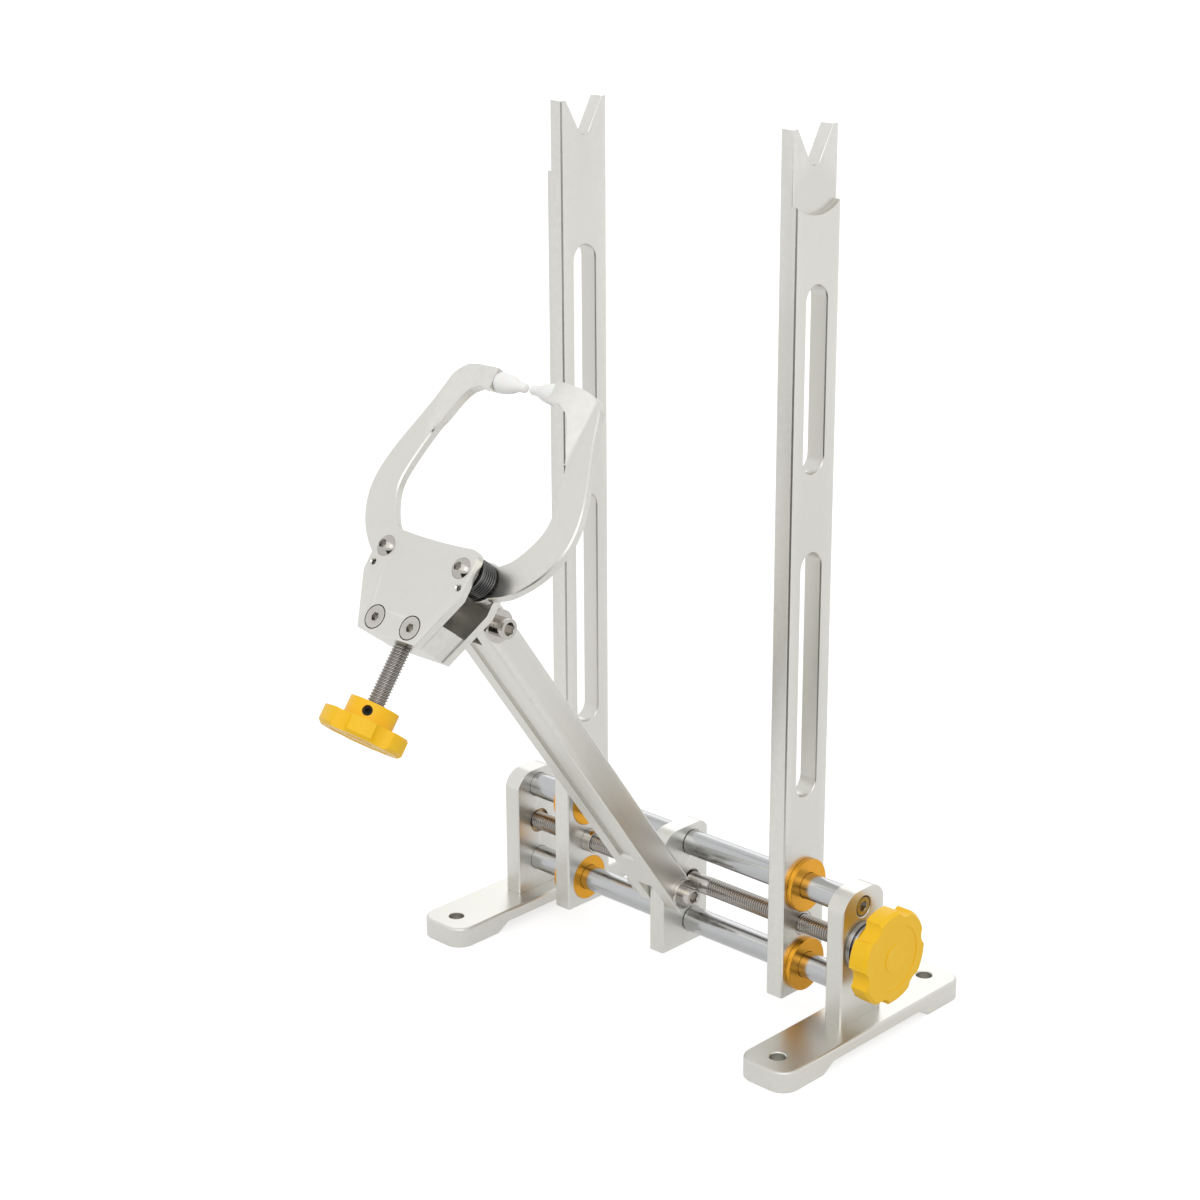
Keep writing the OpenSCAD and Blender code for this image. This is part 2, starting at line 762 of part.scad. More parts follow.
// Points of an arc from angle a0 to a1
function arc(centre, r, a0, a1, steps = 8) =
    [for (i = [0 : steps]) let (a = a0 + (a1 - a0) * i / steps) centre + r * [cos(a), sin(a)]];

// The plates' outline: slanted below, straight above, with a slightly hollow top
module head_profile() {
    r = head_corner_r;
    inset = head_half - r;
    sag_r = (inset * inset + head_top_sag * head_top_sag) / (2 * head_top_sag);
    sweep = asin(inset / sag_r);
    polygon(concat(
        [[-head_bottom_half, head_bottom], [head_bottom_half, head_bottom], [head_half, head_shoulder]],
        arc([inset, head_top - r], r, 0, 90),
        arc([0, head_top - head_top_sag + sag_r], sag_r, -90 + sweep, -90 - sweep, 16),
        arc([-inset, head_top - r], r, 90, 180),
        [[-head_half, head_shoulder]]));
}

module caliper_front_plate() color(aluminium) head_frame() difference() {
    xz(0, head_plate) head_profile();
    for (s = [-1, 1]) {
        translate([s * block_screw_x, 0, 0]) countersink_y(countersunk_r, m5_r, block_screw_length);
        translate([s * pivot_x, 0, pivot_up]) rod_y(-overrun, head_plate + overrun, m5_r + bolt_gap);
        translate([s * spring_hole_x, 0, spring_hole_up]) {
            rod_y(-overrun, head_plate + overrun, spring_hole_r);
            translate([0, spring_hole_mouth, 0]) rotate([90, 0, 0])
                cylinder(h = spring_hole_mouth, r1 = spring_hole_r, r2 = spring_hole_mouth_r);
        }
    }
}

module caliper_rear_plate() color(aluminium) head_frame() difference() {
    xz(rear_face, head_depth) head_profile();
    for (s = [-1, 1]) {
        translate([s * block_screw_x, head_depth, 0]) mirror([0, 1, 0])
            countersink_y(countersunk_r, m5_r, block_screw_length);
        translate([s * pivot_x, 0, pivot_up]) rod_y(rear_face - overrun, head_depth + overrun, m5_r + running_gap);
    }
    for (z = lug_screw_up) translate([0, rear_face, z]) countersink_y(countersunk_r, m5_r, lug_screw_length);
}

module caliper_block() {
    rise = block_top - head_bottom;
    slope = (head_half - head_bottom_half) / (head_shoulder - head_bottom);
    top_half = head_bottom_half + rise * slope;
    color(aluminium) head_frame() difference() {
        union() {
            xz(head_plate, block_step_depth) polygon([
                [-head_bottom_half, head_bottom], [head_bottom_half, head_bottom],
                [top_half, block_top], [-top_half, block_top]]);
            xz(block_step_depth, rear_face) polygon([
                [block_step - head_bottom_half, head_bottom], [head_bottom_half - block_step, head_bottom],
                [top_half - block_step, block_top], [block_step - top_half, block_top]]);
        }
        translate([0, caliper_axis_depth, head_bottom - overrun])
            cylinder(h = rise + 2 * overrun, r = caliper_screw_r + running_gap);
        for (s = [-1, 1]) translate([s * block_screw_x, 0, 0])
            rod_y(0, head_depth, m5_r + running_gap);
    }
}

// The tongue behind the rear plate that turns on the upper pivot bolt
module caliper_lug() color(aluminium) head_frame() difference() {
    union() {
        yz(-lug_half, lug_half) polygon([
            [head_depth, lug_low], [upper_pivot_depth, upper_pivot_up - lug_end_r],
            [upper_pivot_depth, upper_pivot_up + lug_end_r], [head_depth, lug_high]]);
        translate([0, upper_pivot_depth, upper_pivot_up]) rod_x(-lug_half, lug_half, lug_end_r);
    }
    translate([0, upper_pivot_depth, upper_pivot_up])
        rod_x(-bracket_thickness, bracket_thickness, m6_r + running_gap);
    for (z = lug_screw_up) translate([0, rear_face, z])
        rod_y(0, lug_screw_length + overrun, m5_r + running_gap);
}

module block_screws() color(stainless) head_frame() for (s = [-1, 1]) translate([s * block_screw_x, 0, 0]) {
    countersunk_screw_y(countersunk_head_r, m5_r, block_screw_length);
    translate([0, head_depth, 0]) mirror([0, 1, 0])
        countersunk_screw_y(countersunk_head_r, m5_r, block_screw_length);
}

module lug_screws() color(stainless) head_frame() for (z = lug_screw_up)
    translate([0, rear_face, z]) countersunk_screw_y(countersunk_head_r, m5_r, lug_screw_length);

// Button-head screws that the two caliper arms swing around
module arm_pivot_screws() {
    dome_r = (button_r * button_r + button_height * button_height) / (2 * button_height);
    color(stainless) head_frame() for (s = [-1, 1]) translate([s * pivot_x, 0, pivot_up]) difference() {
        union() {
            intersection() {
                rod_y(-button_height, 0, button_r);
                translate([0, dome_r - button_height, 0]) sphere(r = dome_r);
            }
            rod_y(0, head_depth, m5_r);
        }
        xz(-button_height - overrun, -button_height + socket_depth) hexagon(flat_socket_af);
    }
}

module sleeve(y0, y1, r) difference() {
    rod_y(y0, y1, r);
    rod_y(y0 - overrun, y1 + overrun, m5_r + running_gap);
}

// A collar ahead of the arm and the journal that the arm turns on
module pivot_sleeve(arm_front_y) {
    sleeve(head_plate, arm_front_y - clear_gap, spool_r);
    sleeve(arm_front_y - clear_gap, rear_face, arm_sleeve_r);
}

module left_pivot_sleeve() color(black_steel) head_frame() translate([-pivot_x, 0, pivot_up])
    pivot_sleeve(left_arm_front);

module right_pivot_sleeve() color(black_steel) head_frame() translate([pivot_x, 0, pivot_up])
    pivot_sleeve(right_arm_front);

module left_pivot_spacer() color(stainless) head_frame() translate([-pivot_x, 0, pivot_up]) difference() {
    rod_y(left_arm_front + caliper_arm_thickness + clear_gap, rear_face, spool_r);
    rod_y(0, head_depth, arm_sleeve_r + running_gap);
}

// Caliper arms

// A curve through the points, with extra points between each pair
function curve(points, steps) = [
    for (i = [0 : len(points) - 2])
        let (a = points[max(i - 1, 0)], b = points[i], c = points[i + 1],
             d = points[min(i + 2, len(points) - 1)])
            for (k = [0 : steps - 1]) let (t = k / steps)
                0.5 * (2 * b + (c - a) * t + (2 * a - 5 * b + 4 * c - d) * t * t
                       + (3 * b - a - 3 * c + d) * t * t * t),
    points[len(points) - 1]
];

module caliper_arm_outline() polygon(concat(
    [[pivot_x, pivot_up - arm_boss_r / 2]], curve(arm_outer, outline_steps),
    [[tip_start, tip_up + tip_r], [tip_start, tip_up - tip_r], [tip_start + tip_boss_length, tip_up - tip_r]],
    curve(arm_inner, outline_steps), [[pivot_x, pivot_up + arm_boss_r / 2]]));

module caliper_arm_shape(front) {
    back = front + caliper_arm_thickness;
    tip_front = tip_depth - tip_r;
    tip_end = tip_start + tip_boss_length;
    difference() {
        union() {
            xz(front, back) caliper_arm_outline();
            if (front - tip_front > clear_gap) intersection() {
                xz(tip_front, front + overrun) caliper_arm_outline();
                translate([0, 0, tip_up - tip_ramp_up]) linear_extrude(2 * tip_ramp_up) polygon([
                    [tip_start, front + overrun], [tip_start, tip_front], [tip_end, tip_front],
                    [tip_end + tip_ramp, front], [tip_end + tip_ramp, front + overrun]]);
            }
            translate([pivot_x, 0, pivot_up]) rod_y(front, back, arm_boss_r);
            xz(front, back) translate([pivot_x, pivot_up]) rotate(180 + nose_angle) polygon([
                [0, -arm_boss_r / 2], [lever_reach, -lever_half], [nose_distance, -lever_half],
                [nose_distance, lever_half], [lever_reach, lever_half], [0, arm_boss_r / 2]]);
            translate([nose_x, 0, nose_up]) rod_y(front, back, nose_r);
            translate([0, tip_depth, tip_up]) rod_x(tip_start, tip_start + tip_boss_length, tip_r);
        }
        translate([pivot_x, 0, pivot_up]) rod_y(0, head_depth, arm_sleeve_r + running_gap);
        translate([0, tip_depth, tip_up]) rod_x(0, tip_start + tip_stud_length, tip_stud_r);
    }
}

// A blunt nylon cone with a small round nose and a stud into the arm
module contact_tip_shape() {
    nose_centre = tip_nose_x + tip_nose_r;
    translate([0, tip_depth, tip_up]) rotate([0, 90, 0]) rotate_extrude() polygon(concat(
        [[0, tip_nose_x]],
        [for (p = arc([0, nose_centre], tip_nose_r, -75, 0, 5)) p],
        curve([[tip_nose_r, nose_centre + 1.6], [2.8, 7.6], [4, 10], [4.9, 14], [tip_r, 17.5]], outline_steps),
        [[tip_r, tip_start], [tip_stud_r, tip_start], [tip_stud_r, tip_start + tip_stud_length],
         [0, tip_start + tip_stud_length]]));
}

module left_caliper_arm() color(aluminium) head_frame() mirror([1, 0, 0]) caliper_arm_shape(left_arm_front);

module right_caliper_arm() color(aluminium) head_frame() caliper_arm_shape(right_arm_front);

module left_contact_tip() color(nylon) head_frame() mirror([1, 0, 0]) contact_tip_shape();

module right_contact_tip() color(nylon) head_frame() contact_tip_shape();

// Springs

// The wire's path around the pivot: a leg in the plate's hole, the turns and a straight tail
function spring_path(turns) =
    let (start = atan2(spring_hole_up - pivot_up, spring_hole_x - pivot_x),
         hole_r = norm([spring_hole_x - pivot_x, spring_hole_up - pivot_up]),
         first = head_plate + spring_r + side_gap,
         steps = turns * spring_rings,
         last = start + 360 * turns,
         turn_end = [spring_coil_r * cos(last), first + spring_pitch * turns, spring_coil_r * sin(last)])
    concat(
        [for (y = [spring_leg_start, first])
            [hole_r * cos(start), y, hole_r * sin(start)]],
        [for (i = [1 : steps]) let (a = start + 360 * i / spring_rings,
                                    r = spring_coil_r + (hole_r - spring_coil_r) * max(0, 1 - i / 3))
            [r * cos(a), first + spring_pitch * i / spring_rings, r * sin(a)]],
        [turn_end + spring_tail * [-sin(last), 0, cos(last)]]);

function unit(v) = v / norm(v);

// One ring of a tube at point i of the path, square to the path
function ring_at(path, i, r) =
    let (n = len(path),
         t = unit(path[min(i + 1, n - 1)] - path[max(i - 1, 0)]),
         out = unit([path[i][0], 0, path[i][2]]),
         side = unit(cross(t, out)),
         up = cross(side, t))
    [for (k = [0 : spring_sides - 1]) let (a = 360 * k / spring_sides)
        path[i] + r * (cos(a) * side + sin(a) * up)];

module tube(path, r) {
    n = len(path);
    m = spring_sides;
    points = [for (i = [0 : n - 1]) each ring_at(path, i, r)];
    sides = [for (i = [0 : n - 2], k = [0 : m - 1]) let (a = i * m + k, b = i * m + (k + 1) % m)
        each [[a, b, b + m], [a, b + m, a + m]]];
    caps = [for (k = [1 : m - 2]) each [[0, k + 1, k], [(n - 1) * m, (n - 1) * m + k, (n - 1) * m + k + 1]]];
    polyhedron(points, concat(sides, caps));
}

// Least distance between wire centres one turn or more apart, less the wire's diameter
function self_gap(path) = min([
    for (i = [0 : len(path) - 1], j = [i + spring_rings - 1 : 1 : len(path) - 1])
        norm(path[i] - path[j]) - spring_wire_d]);

echo(left_spring_gap = self_gap(spring_path(left_spring_turns)),
     right_spring_gap = self_gap(spring_path(right_spring_turns)), limit = gap_limit);

module arm_spring(turns) translate([pivot_x, 0, pivot_up]) tube(spring_path(turns), spring_r);

module left_arm_spring() color(black_steel) head_frame() mirror([1, 0, 0]) arm_spring(left_spring_turns);

module right_arm_spring() color(black_steel) head_frame() arm_spring(right_spring_turns);

// Caliper screw

// The block that the screw lifts to spread the arms' levers
module caliper_pusher() color(stainless) head_frame() difference() {
    translate([-pusher_half, head_plate + clear_gap, pusher_bottom])
        cube([2 * pusher_half, rear_face - head_plate - 2 * clear_gap, pusher_top - pusher_bottom]);
    translate([0, caliper_axis_depth, pusher_bottom - overrun])
        cylinder(h = pusher_pin_length + 2 * overrun, r = pusher_pin_r + running_gap);
}

module caliper_screw() {
    end = caliper_hub_top - caliper_hub_length - caliper_knob_length + knob_cap;
    shoulder = pusher_bottom - running_gap;
    pin_end = pusher_bottom + pusher_pin_length;
    rings = thread_points(caliper_hub_top, shoulder - overrun, caliper_screw_r,
                          caliper_pitch, caliper_pitch * thread_ratio, thread_crest);
    color(dark_steel) head_frame() translate([0, caliper_axis_depth, 0]) rotate_extrude()
        polygon(concat(
            [[0, end], [journal_r, end], [journal_r, caliper_hub_top]],
            rings,
            [[journal_r, shoulder], [pusher_pin_r, shoulder], [pusher_pin_r, pin_end], [0, pin_end]]));
}

module caliper_knob() color(yellow) head_frame()
    translate([0, caliper_axis_depth, caliper_hub_top - caliper_hub_length - caliper_knob_length])
        mirror([0, 0, 1]) difference() {
            knob_shape(caliper_knob_d, caliper_knob_length, caliper_hub_length, caliper_hub_r,
                       caliper_notch_r, caliper_notch_out, journal_r);
            translate([0, 0, -caliper_knob_length - caliper_hub_length / 2])
                rotate([90, 0, caliper_set_screw_turn])
                    cylinder(h = caliper_hub_r + overrun, r = m5_r + running_gap);
        }

module caliper_knob_set_screw() color(dark_steel) head_frame()
    translate([0, caliper_axis_depth, caliper_hub_top - caliper_hub_length / 2])
        rotate([90, 0, caliper_set_screw_turn]) difference() {
            translate([0, 0, journal_r])
                cylinder(h = caliper_hub_r - journal_r - caliper_set_screw_sink, r = m5_r);
            translate([0, 0, caliper_hub_r - caliper_set_screw_sink - socket_depth])
                linear_extrude(caliper_hub_r) hexagon(m5_r);
        }

left_foot();
right_foot();
foot_screws();
left_end_plate();
right_end_plate();
upper_guide_rod();
lower_guide_rod();
rod_end_screws();
leadscrew_bushes();
centre_bracket();
bracket_set_screws();
outer_thrust_race();
leadscrew();
leadscrew_knob();
leadscrew_knob_set_screw();
leadscrew_retaining_ring();
thrust_cage();
inner_thrust_race();
left_upright();
left_rod_bushings();
left_leadscrew_nut();
right_upright();
right_rod_bushings();
right_leadscrew_nut();
swing_arm();
pivot_bolts();
pivot_washers();
pivot_nuts();
caliper_front_plate();
caliper_rear_plate();
caliper_block();
caliper_lug();
block_screws();
lug_screws();
arm_pivot_screws();
left_pivot_sleeve();
left_pivot_spacer();
right_pivot_sleeve();
left_arm_spring();
right_arm_spring();
left_caliper_arm();
left_contact_tip();
right_caliper_arm();
right_contact_tip();
caliper_pusher();
caliper_screw();
caliper_knob();
caliper_knob_set_screw();
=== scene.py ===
"""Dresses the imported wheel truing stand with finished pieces, materials, a plain studio and a camera."""

from __future__ import annotations

import logging
import math
import sys
from collections.abc import Callable, Sequence
from dataclasses import dataclass
from enum import Enum

import bmesh
import bpy
from mathutils import Matrix, Vector

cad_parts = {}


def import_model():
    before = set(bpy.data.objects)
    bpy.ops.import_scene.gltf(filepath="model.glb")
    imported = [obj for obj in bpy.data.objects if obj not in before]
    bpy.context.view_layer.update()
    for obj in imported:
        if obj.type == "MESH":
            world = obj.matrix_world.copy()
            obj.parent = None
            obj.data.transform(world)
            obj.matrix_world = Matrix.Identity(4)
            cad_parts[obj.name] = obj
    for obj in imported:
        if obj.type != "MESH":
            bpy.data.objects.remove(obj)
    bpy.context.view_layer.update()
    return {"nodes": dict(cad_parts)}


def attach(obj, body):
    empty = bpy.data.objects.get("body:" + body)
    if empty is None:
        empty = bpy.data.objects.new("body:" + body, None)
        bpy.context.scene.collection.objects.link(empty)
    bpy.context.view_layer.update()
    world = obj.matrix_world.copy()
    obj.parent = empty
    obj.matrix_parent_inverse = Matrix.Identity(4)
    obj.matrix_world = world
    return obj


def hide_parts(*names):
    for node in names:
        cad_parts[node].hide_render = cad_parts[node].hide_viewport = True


LOG = logging.getLogger("truing_stand")
MM = 0.001
FULL_TURN = 2 * math.pi
WHITE = (1.0, 1.0, 1.0, 1.0)

# Faces across a bevelled edge
CHAMFER = 1
ROUND = 2
MOULDED = 3

Point2 = tuple[float, float]
Spare = Callable[[Vector], bool]


class Slot(Enum):
    """The record's material slots."""

    ALUMINIUM = "satin_aluminium"
    POLISHED = "polished_steel"
    THREAD = "dark_steel"
    STAINLESS = "stainless_steel"
    GOLD = "gold_anodised"
    BRONZE = "bronze"
    YELLOW = "yellow_plastic"
    BLACK = "black_spring_steel"
    NYLON = "white_nylon"


class Body(Enum):
    """The stand's moving bodies."""

    BASE = "base"
    LEADSCREW = "leadscrew_set"
    LEFT_UPRIGHT = "left_upright_set"
    RIGHT_UPRIGHT = "right_upright_set"
    ARM = "swing_arm_set"
    HEAD = "caliper_head"
    LEFT_CALIPER = "left_caliper_arm_set"
    RIGHT_CALIPER = "right_caliper_arm_set"
    PUSHER = "pusher_set"
    CALIPER_SCREW = "caliper_screw_set"


@dataclass(frozen=True)
class Socket:
    """One input or output of a shader group."""

    name: str
    kind: str
    value: float | tuple[float, ...] | None = None


class GroupBuilder:
    """Makes a shader node group with named sockets and keeps its node tree tidy."""

    def __init__(self, name: str, inputs: Sequence[Socket], outputs: Sequence[Socket]) -> None:
        """Creates an empty group.

        Args:
            name: The group's name.
            inputs: The sockets that a material sets.
            outputs: The sockets that a material reads.
        """
        self.tree = bpy.data.node_groups.new(name, "ShaderNodeTree")
        for sock in inputs:
            made = self.tree.interface.new_socket(sock.name, in_out="INPUT", socket_type=sock.kind)
            if sock.value is not None:
                made.default_value = sock.value
        for sock in outputs:
            self.tree.interface.new_socket(sock.name, in_out="OUTPUT", socket_type=sock.kind)
        self.start = self.tree.nodes.new("NodeGroupInput")
        self.end = self.tree.nodes.new("NodeGroupOutput")

    def node(self, kind: str, **settings: object) -> bpy.types.Node:
        """Adds a node and sets its properties."""
        made = self.tree.nodes.new(kind)
        for key, value in settings.items():
            setattr(made, key, value)
        return made

    def join(self, source: bpy.types.NodeSocket, target: bpy.types.NodeSocket) -> None:
        """Links two sockets."""
        self.tree.links.new(source, target)

    def math(self, operation: str, first: object, second: object,
             clamp: bool = False) -> bpy.types.NodeSocket:
        """Adds a Math node.

        Args:
            operation: Blender's name of the operation.
            first: A socket or a number.
            second: A socket or a number.
            clamp: Whether the result stays between 0 and 1.

        Returns:
            The node's output socket.
        """
        made = self.node("ShaderNodeMath", operation=operation, use_clamp=clamp)
        for index, value in enumerate((first, second)):
            if isinstance(value, bpy.types.NodeSocket):
                self.join(value, made.inputs[index])
            else:
                made.inputs[index].default_value = value
        return made.outputs[0]


class SurfaceEffects:
    """The effects that several finishes share, each as one shader group."""

    GRAIN_DETAIL = 4.0
    DRIFT_DETAIL = 2.0
    NOISE_MIDDLE = 0.5

    def __init__(self) -> None:
        """Builds the groups."""
        self.grain = self._grain()
        self.drift = self._drift()
        self.edge_wear_and_highlight = self._edge_wear_and_highlight()

    def _grain(self) -> bpy.types.NodeTree:
        """Makes fine directional grain: a height for bump and a change of roughness.

        Returns:
            The group, with outputs Height and Roughness.
        """
        group = GroupBuilder(
            "DirectionalGrain",
            [
                Socket("Stretch", "NodeSocketVector", (1.0, 1.0, 1.0)),
                Socket("Scale", "NodeSocketFloat", 900.0),
                Socket("Roughness", "NodeSocketFloat", 0.35),
                Socket("Spread", "NodeSocketFloat", 0.1),
            ],
            [Socket("Height", "NodeSocketFloat"), Socket("Roughness", "NodeSocketFloat")],
        )
        place = group.node("ShaderNodeTexCoord")
        mapping = group.node("ShaderNodeMapping")
        group.join(place.outputs["Object"], mapping.inputs["Vector"])
        group.join(group.start.outputs["Stretch"], mapping.inputs["Scale"])
        noise = group.node("ShaderNodeTexNoise")
        noise.inputs["Detail"].default_value = self.GRAIN_DETAIL
        group.join(mapping.outputs["Vector"], noise.inputs["Vector"])
        group.join(group.start.outputs["Scale"], noise.inputs["Scale"])
        centred = group.math("SUBTRACT", noise.outputs["Fac"], self.NOISE_MIDDLE)
        spread = group.math("MULTIPLY", centred, group.start.outputs["Spread"])
        rough = group.math("ADD", spread, group.start.outputs["Roughness"], clamp=True)
        group.join(noise.outputs["Fac"], group.end.inputs["Height"])
        group.join(rough, group.end.inputs["Roughness"])
        return group.tree

    def _drift(self) -> bpy.types.NodeTree:
        """Makes a slow change between two colours over the surface.

        Returns:
            The group, with the output Color.
        """
        group = GroupBuilder(
            "ColourDrift",
            [
                Socket("Base", "NodeSocketColor", (0.8, 0.8, 0.8, 1.0)),
                Socket("Other", "NodeSocketColor", (0.7, 0.7, 0.7, 1.0)),
                Socket("Scale", "NodeSocketFloat", 12.0),
            ],
            [Socket("Color", "NodeSocketColor")],
        )
        place = group.node("ShaderNodeTexCoord")
        noise = group.node("ShaderNodeTexNoise")
        noise.inputs["Detail"].default_value = self.DRIFT_DETAIL
        group.join(place.outputs["Object"], noise.inputs["Vector"])
        group.join(group.start.outputs["Scale"], noise.inputs["Scale"])
        mix = group.node("ShaderNodeMix", data_type="RGBA")
        group.join(noise.outputs["Fac"], mix.inputs["Factor"])
        group.join(group.start.outputs["Base"], mix.inputs["A"])
        group.join(group.start.outputs["Other"], mix.inputs["B"])
        group.join(mix.outputs["Result"], group.end.inputs["Color"])
        return group.tree

    @staticmethod
    def _edge_wear_and_highlight() -> bpy.types.NodeTree:
        """Makes a mask of the surface's outer edges, broken up by noise, for the lighter edge colour that
        stands partly for wear and partly for a painted highlight.

        Returns:
            The group, with the output Mask.
        """
        group = GroupBuilder(
            "EdgeWearAndHighlight",
            [
                Socket("Low", "NodeSocketFloat", 0.52),
                Socket("High", "NodeSocketFloat", 0.60),
                Socket("Breakup", "NodeSocketFloat", 300.0),
                Socket("Amount", "NodeSocketFloat", 0.5),
            ],
            [Socket("Mask", "NodeSocketFloat")],
        )
        place = group.node("ShaderNodeTexCoord")
        geometry = group.node("ShaderNodeNewGeometry")
        noise = group.node("ShaderNodeTexNoise")
        group.join(place.outputs["Object"], noise.inputs["Vector"])
        group.join(group.start.outputs["Breakup"], noise.inputs["Scale"])
        ramp = group.node("ShaderNodeMapRange")
        group.join(geometry.outputs["Pointiness"], ramp.inputs["Value"])
        group.join(group.start.outputs["Low"], ramp.inputs["From Min"])
        group.join(group.start.outputs["High"], ramp.inputs["From Max"])
        broken = group.math("MULTIPLY", ramp.outputs["Result"], noise.outputs["Fac"])
        mask = group.math("MULTIPLY", broken, group.start.outputs["Amount"], clamp=True)
        group.join(mask, group.end.inputs["Mask"])
        return group.tree


@dataclass(frozen=True)
class Finish:
    """A procedural finish: two drifting colours, directional grain and bright edges, which are partly worn
    and partly a painted highlight.

    The reach and the depth are in millimetres, and the scales count per metre.
    """

    slot: Slot
    colour: tuple[float, float, float]
    other: tuple[float, float, float]
    worn_and_highlit: tuple[float, float, float]
    metallic: float
    roughness: float
    spread: float = 0.1
    stretch: tuple[float, float, float] = (1.0, 1.0, 1.0)
    grain_scale: float = 900.0
    bump: float = 0.05
    wear_and_highlight: float = 0.6
    drift_scale: float = 14.0
    specular: float = 0.5
    subsurface: float = 0.0
    subsurface_reach: float = 2.0
    grain_depth: float = 0.05

    def build(self, effects: SurfaceEffects, suffix: str = "") -> bpy.types.Material:
        """Makes the material.

        Args:
            effects: The shared shader groups.
            suffix: Added to the slot's name where a slot has a second finish.

        Returns:
            The finished material.
        """
        material = bpy.data.materials.new(self.slot.value + suffix)
        material.use_nodes = True
        tree = material.node_tree
        shader = tree.nodes["Principled BSDF"]
        shader.inputs["Metallic"].default_value = self.metallic
        shader.inputs["Specular IOR Level"].default_value = self.specular
        shader.inputs["Subsurface Weight"].default_value = self.subsurface
        shader.inputs["Subsurface Scale"].default_value = self.subsurface_reach * MM

        drift = self._group(tree, effects.drift)
        drift.inputs["Base"].default_value = (*self.colour, 1.0)
        drift.inputs["Other"].default_value = (*self.other, 1.0)
        drift.inputs["Scale"].default_value = self.drift_scale
        # The edge colour mixed in here is lighter than the base: partly wear, partly a painted highlight
        # along convex edges.
        wear_and_highlight = self._group(tree, effects.edge_wear_and_highlight)
        wear_and_highlight.inputs["Amount"].default_value = self.wear_and_highlight
        mix = tree.nodes.new("ShaderNodeMix")
        mix.data_type = "RGBA"
        mix.inputs["B"].default_value = (*self.worn_and_highlit, 1.0)
        tree.links.new(wear_and_highlight.outputs["Mask"], mix.inputs["Factor"])
        tree.links.new(drift.outputs["Color"], mix.inputs["A"])
        tree.links.new(mix.outputs["Result"], shader.inputs["Base Color"])

        grain = self._group(tree, effects.grain)
        grain.inputs["Stretch"].default_value = self.stretch
        grain.inputs["Scale"].default_value = self.grain_scale
        grain.inputs["Roughness"].default_value = self.roughness
        grain.inputs["Spread"].default_value = self.spread
        tree.links.new(grain.outputs["Roughness"], shader.inputs["Roughness"])
        bump = tree.nodes.new("ShaderNodeBump")
        bump.inputs["Strength"].default_value = self.bump
        bump.inputs["Distance"].default_value = self.grain_depth * MM
        tree.links.new(grain.outputs["Height"], bump.inputs["Height"])
        tree.links.new(bump.outputs["Normal"], shader.inputs["Normal"])
        return material

    @staticmethod
    def _group(tree: bpy.types.NodeTree, group: bpy.types.NodeTree) -> bpy.types.Node:
        """Places a shader group in a material."""
        node = tree.nodes.new("ShaderNodeGroup")
        node.node_tree = group
        return node


# Each finish's third colour is its edge colour, lighter than the first: partly wear, partly a painted
# highlight.
FINISHES = (
    Finish(Slot.ALUMINIUM, (0.69, 0.68, 0.635), (0.655, 0.645, 0.60), (0.90, 0.90, 0.88), 1.0, 0.31,
           spread=0.10, grain_scale=2200.0, bump=0.12, wear_and_highlight=0.5),
    Finish(Slot.POLISHED, (0.52, 0.525, 0.53), (0.45, 0.455, 0.465), (0.85, 0.85, 0.85), 1.0, 0.19,
           spread=0.08, stretch=(0.15, 1.0, 1.0), grain_scale=1600.0, bump=0.08, wear_and_highlight=0.3),
    Finish(Slot.THREAD, (0.40, 0.375, 0.35), (0.31, 0.29, 0.27), (0.80, 0.77, 0.73), 1.0, 0.22,
           spread=0.2, grain_scale=1200.0, bump=0.2, wear_and_highlight=0.9),
    Finish(Slot.STAINLESS, (0.54, 0.515, 0.48), (0.45, 0.425, 0.395), (0.92, 0.91, 0.89), 1.0, 0.15,
           spread=0.12, grain_scale=1500.0, bump=0.1, wear_and_highlight=0.6),
    Finish(Slot.GOLD, (0.80, 0.37, 0.022), (0.72, 0.32, 0.016), (1.0, 0.70, 0.25), 1.0, 0.30,
           spread=0.1, grain_scale=1800.0, bump=0.1, wear_and_highlight=0.5),
    Finish(Slot.BRONZE, (0.42, 0.28, 0.15), (0.36, 0.24, 0.12), (0.70, 0.55, 0.35), 1.0, 0.4,
           grain_scale=2600.0, bump=0.3),
    Finish(Slot.YELLOW, (0.96, 0.575, 0.008), (0.94, 0.54, 0.006), (1.0, 0.72, 0.08), 0.0, 0.36,
           spread=0.08, grain_scale=2400.0, bump=0.12, wear_and_highlight=0.25, specular=0.35),
    Finish(Slot.BLACK, (0.075, 0.075, 0.077), (0.10, 0.10, 0.10), (0.40, 0.39, 0.38), 1.0, 0.18,
           spread=0.15, grain_scale=1400.0, bump=0.1, wear_and_highlight=0.6),
    Finish(Slot.NYLON, (0.93, 0.925, 0.90), (0.90, 0.895, 0.87), (0.93, 0.93, 0.91), 0.0, 0.42,
           spread=0.1, grain_scale=1500.0, bump=0.1, wear_and_highlight=0.2, subsurface=0.15),
)

# The set screws' blackened ends, duller than the springs' wire
DULL_BLACK = Finish(Slot.BLACK, (0.012, 0.011, 0.010), (0.020, 0.019, 0.018), (0.06, 0.06, 0.06), 0.0, 0.5,
                    grain_scale=1400.0, bump=0.1, wear_and_highlight=0.2, specular=0.2)


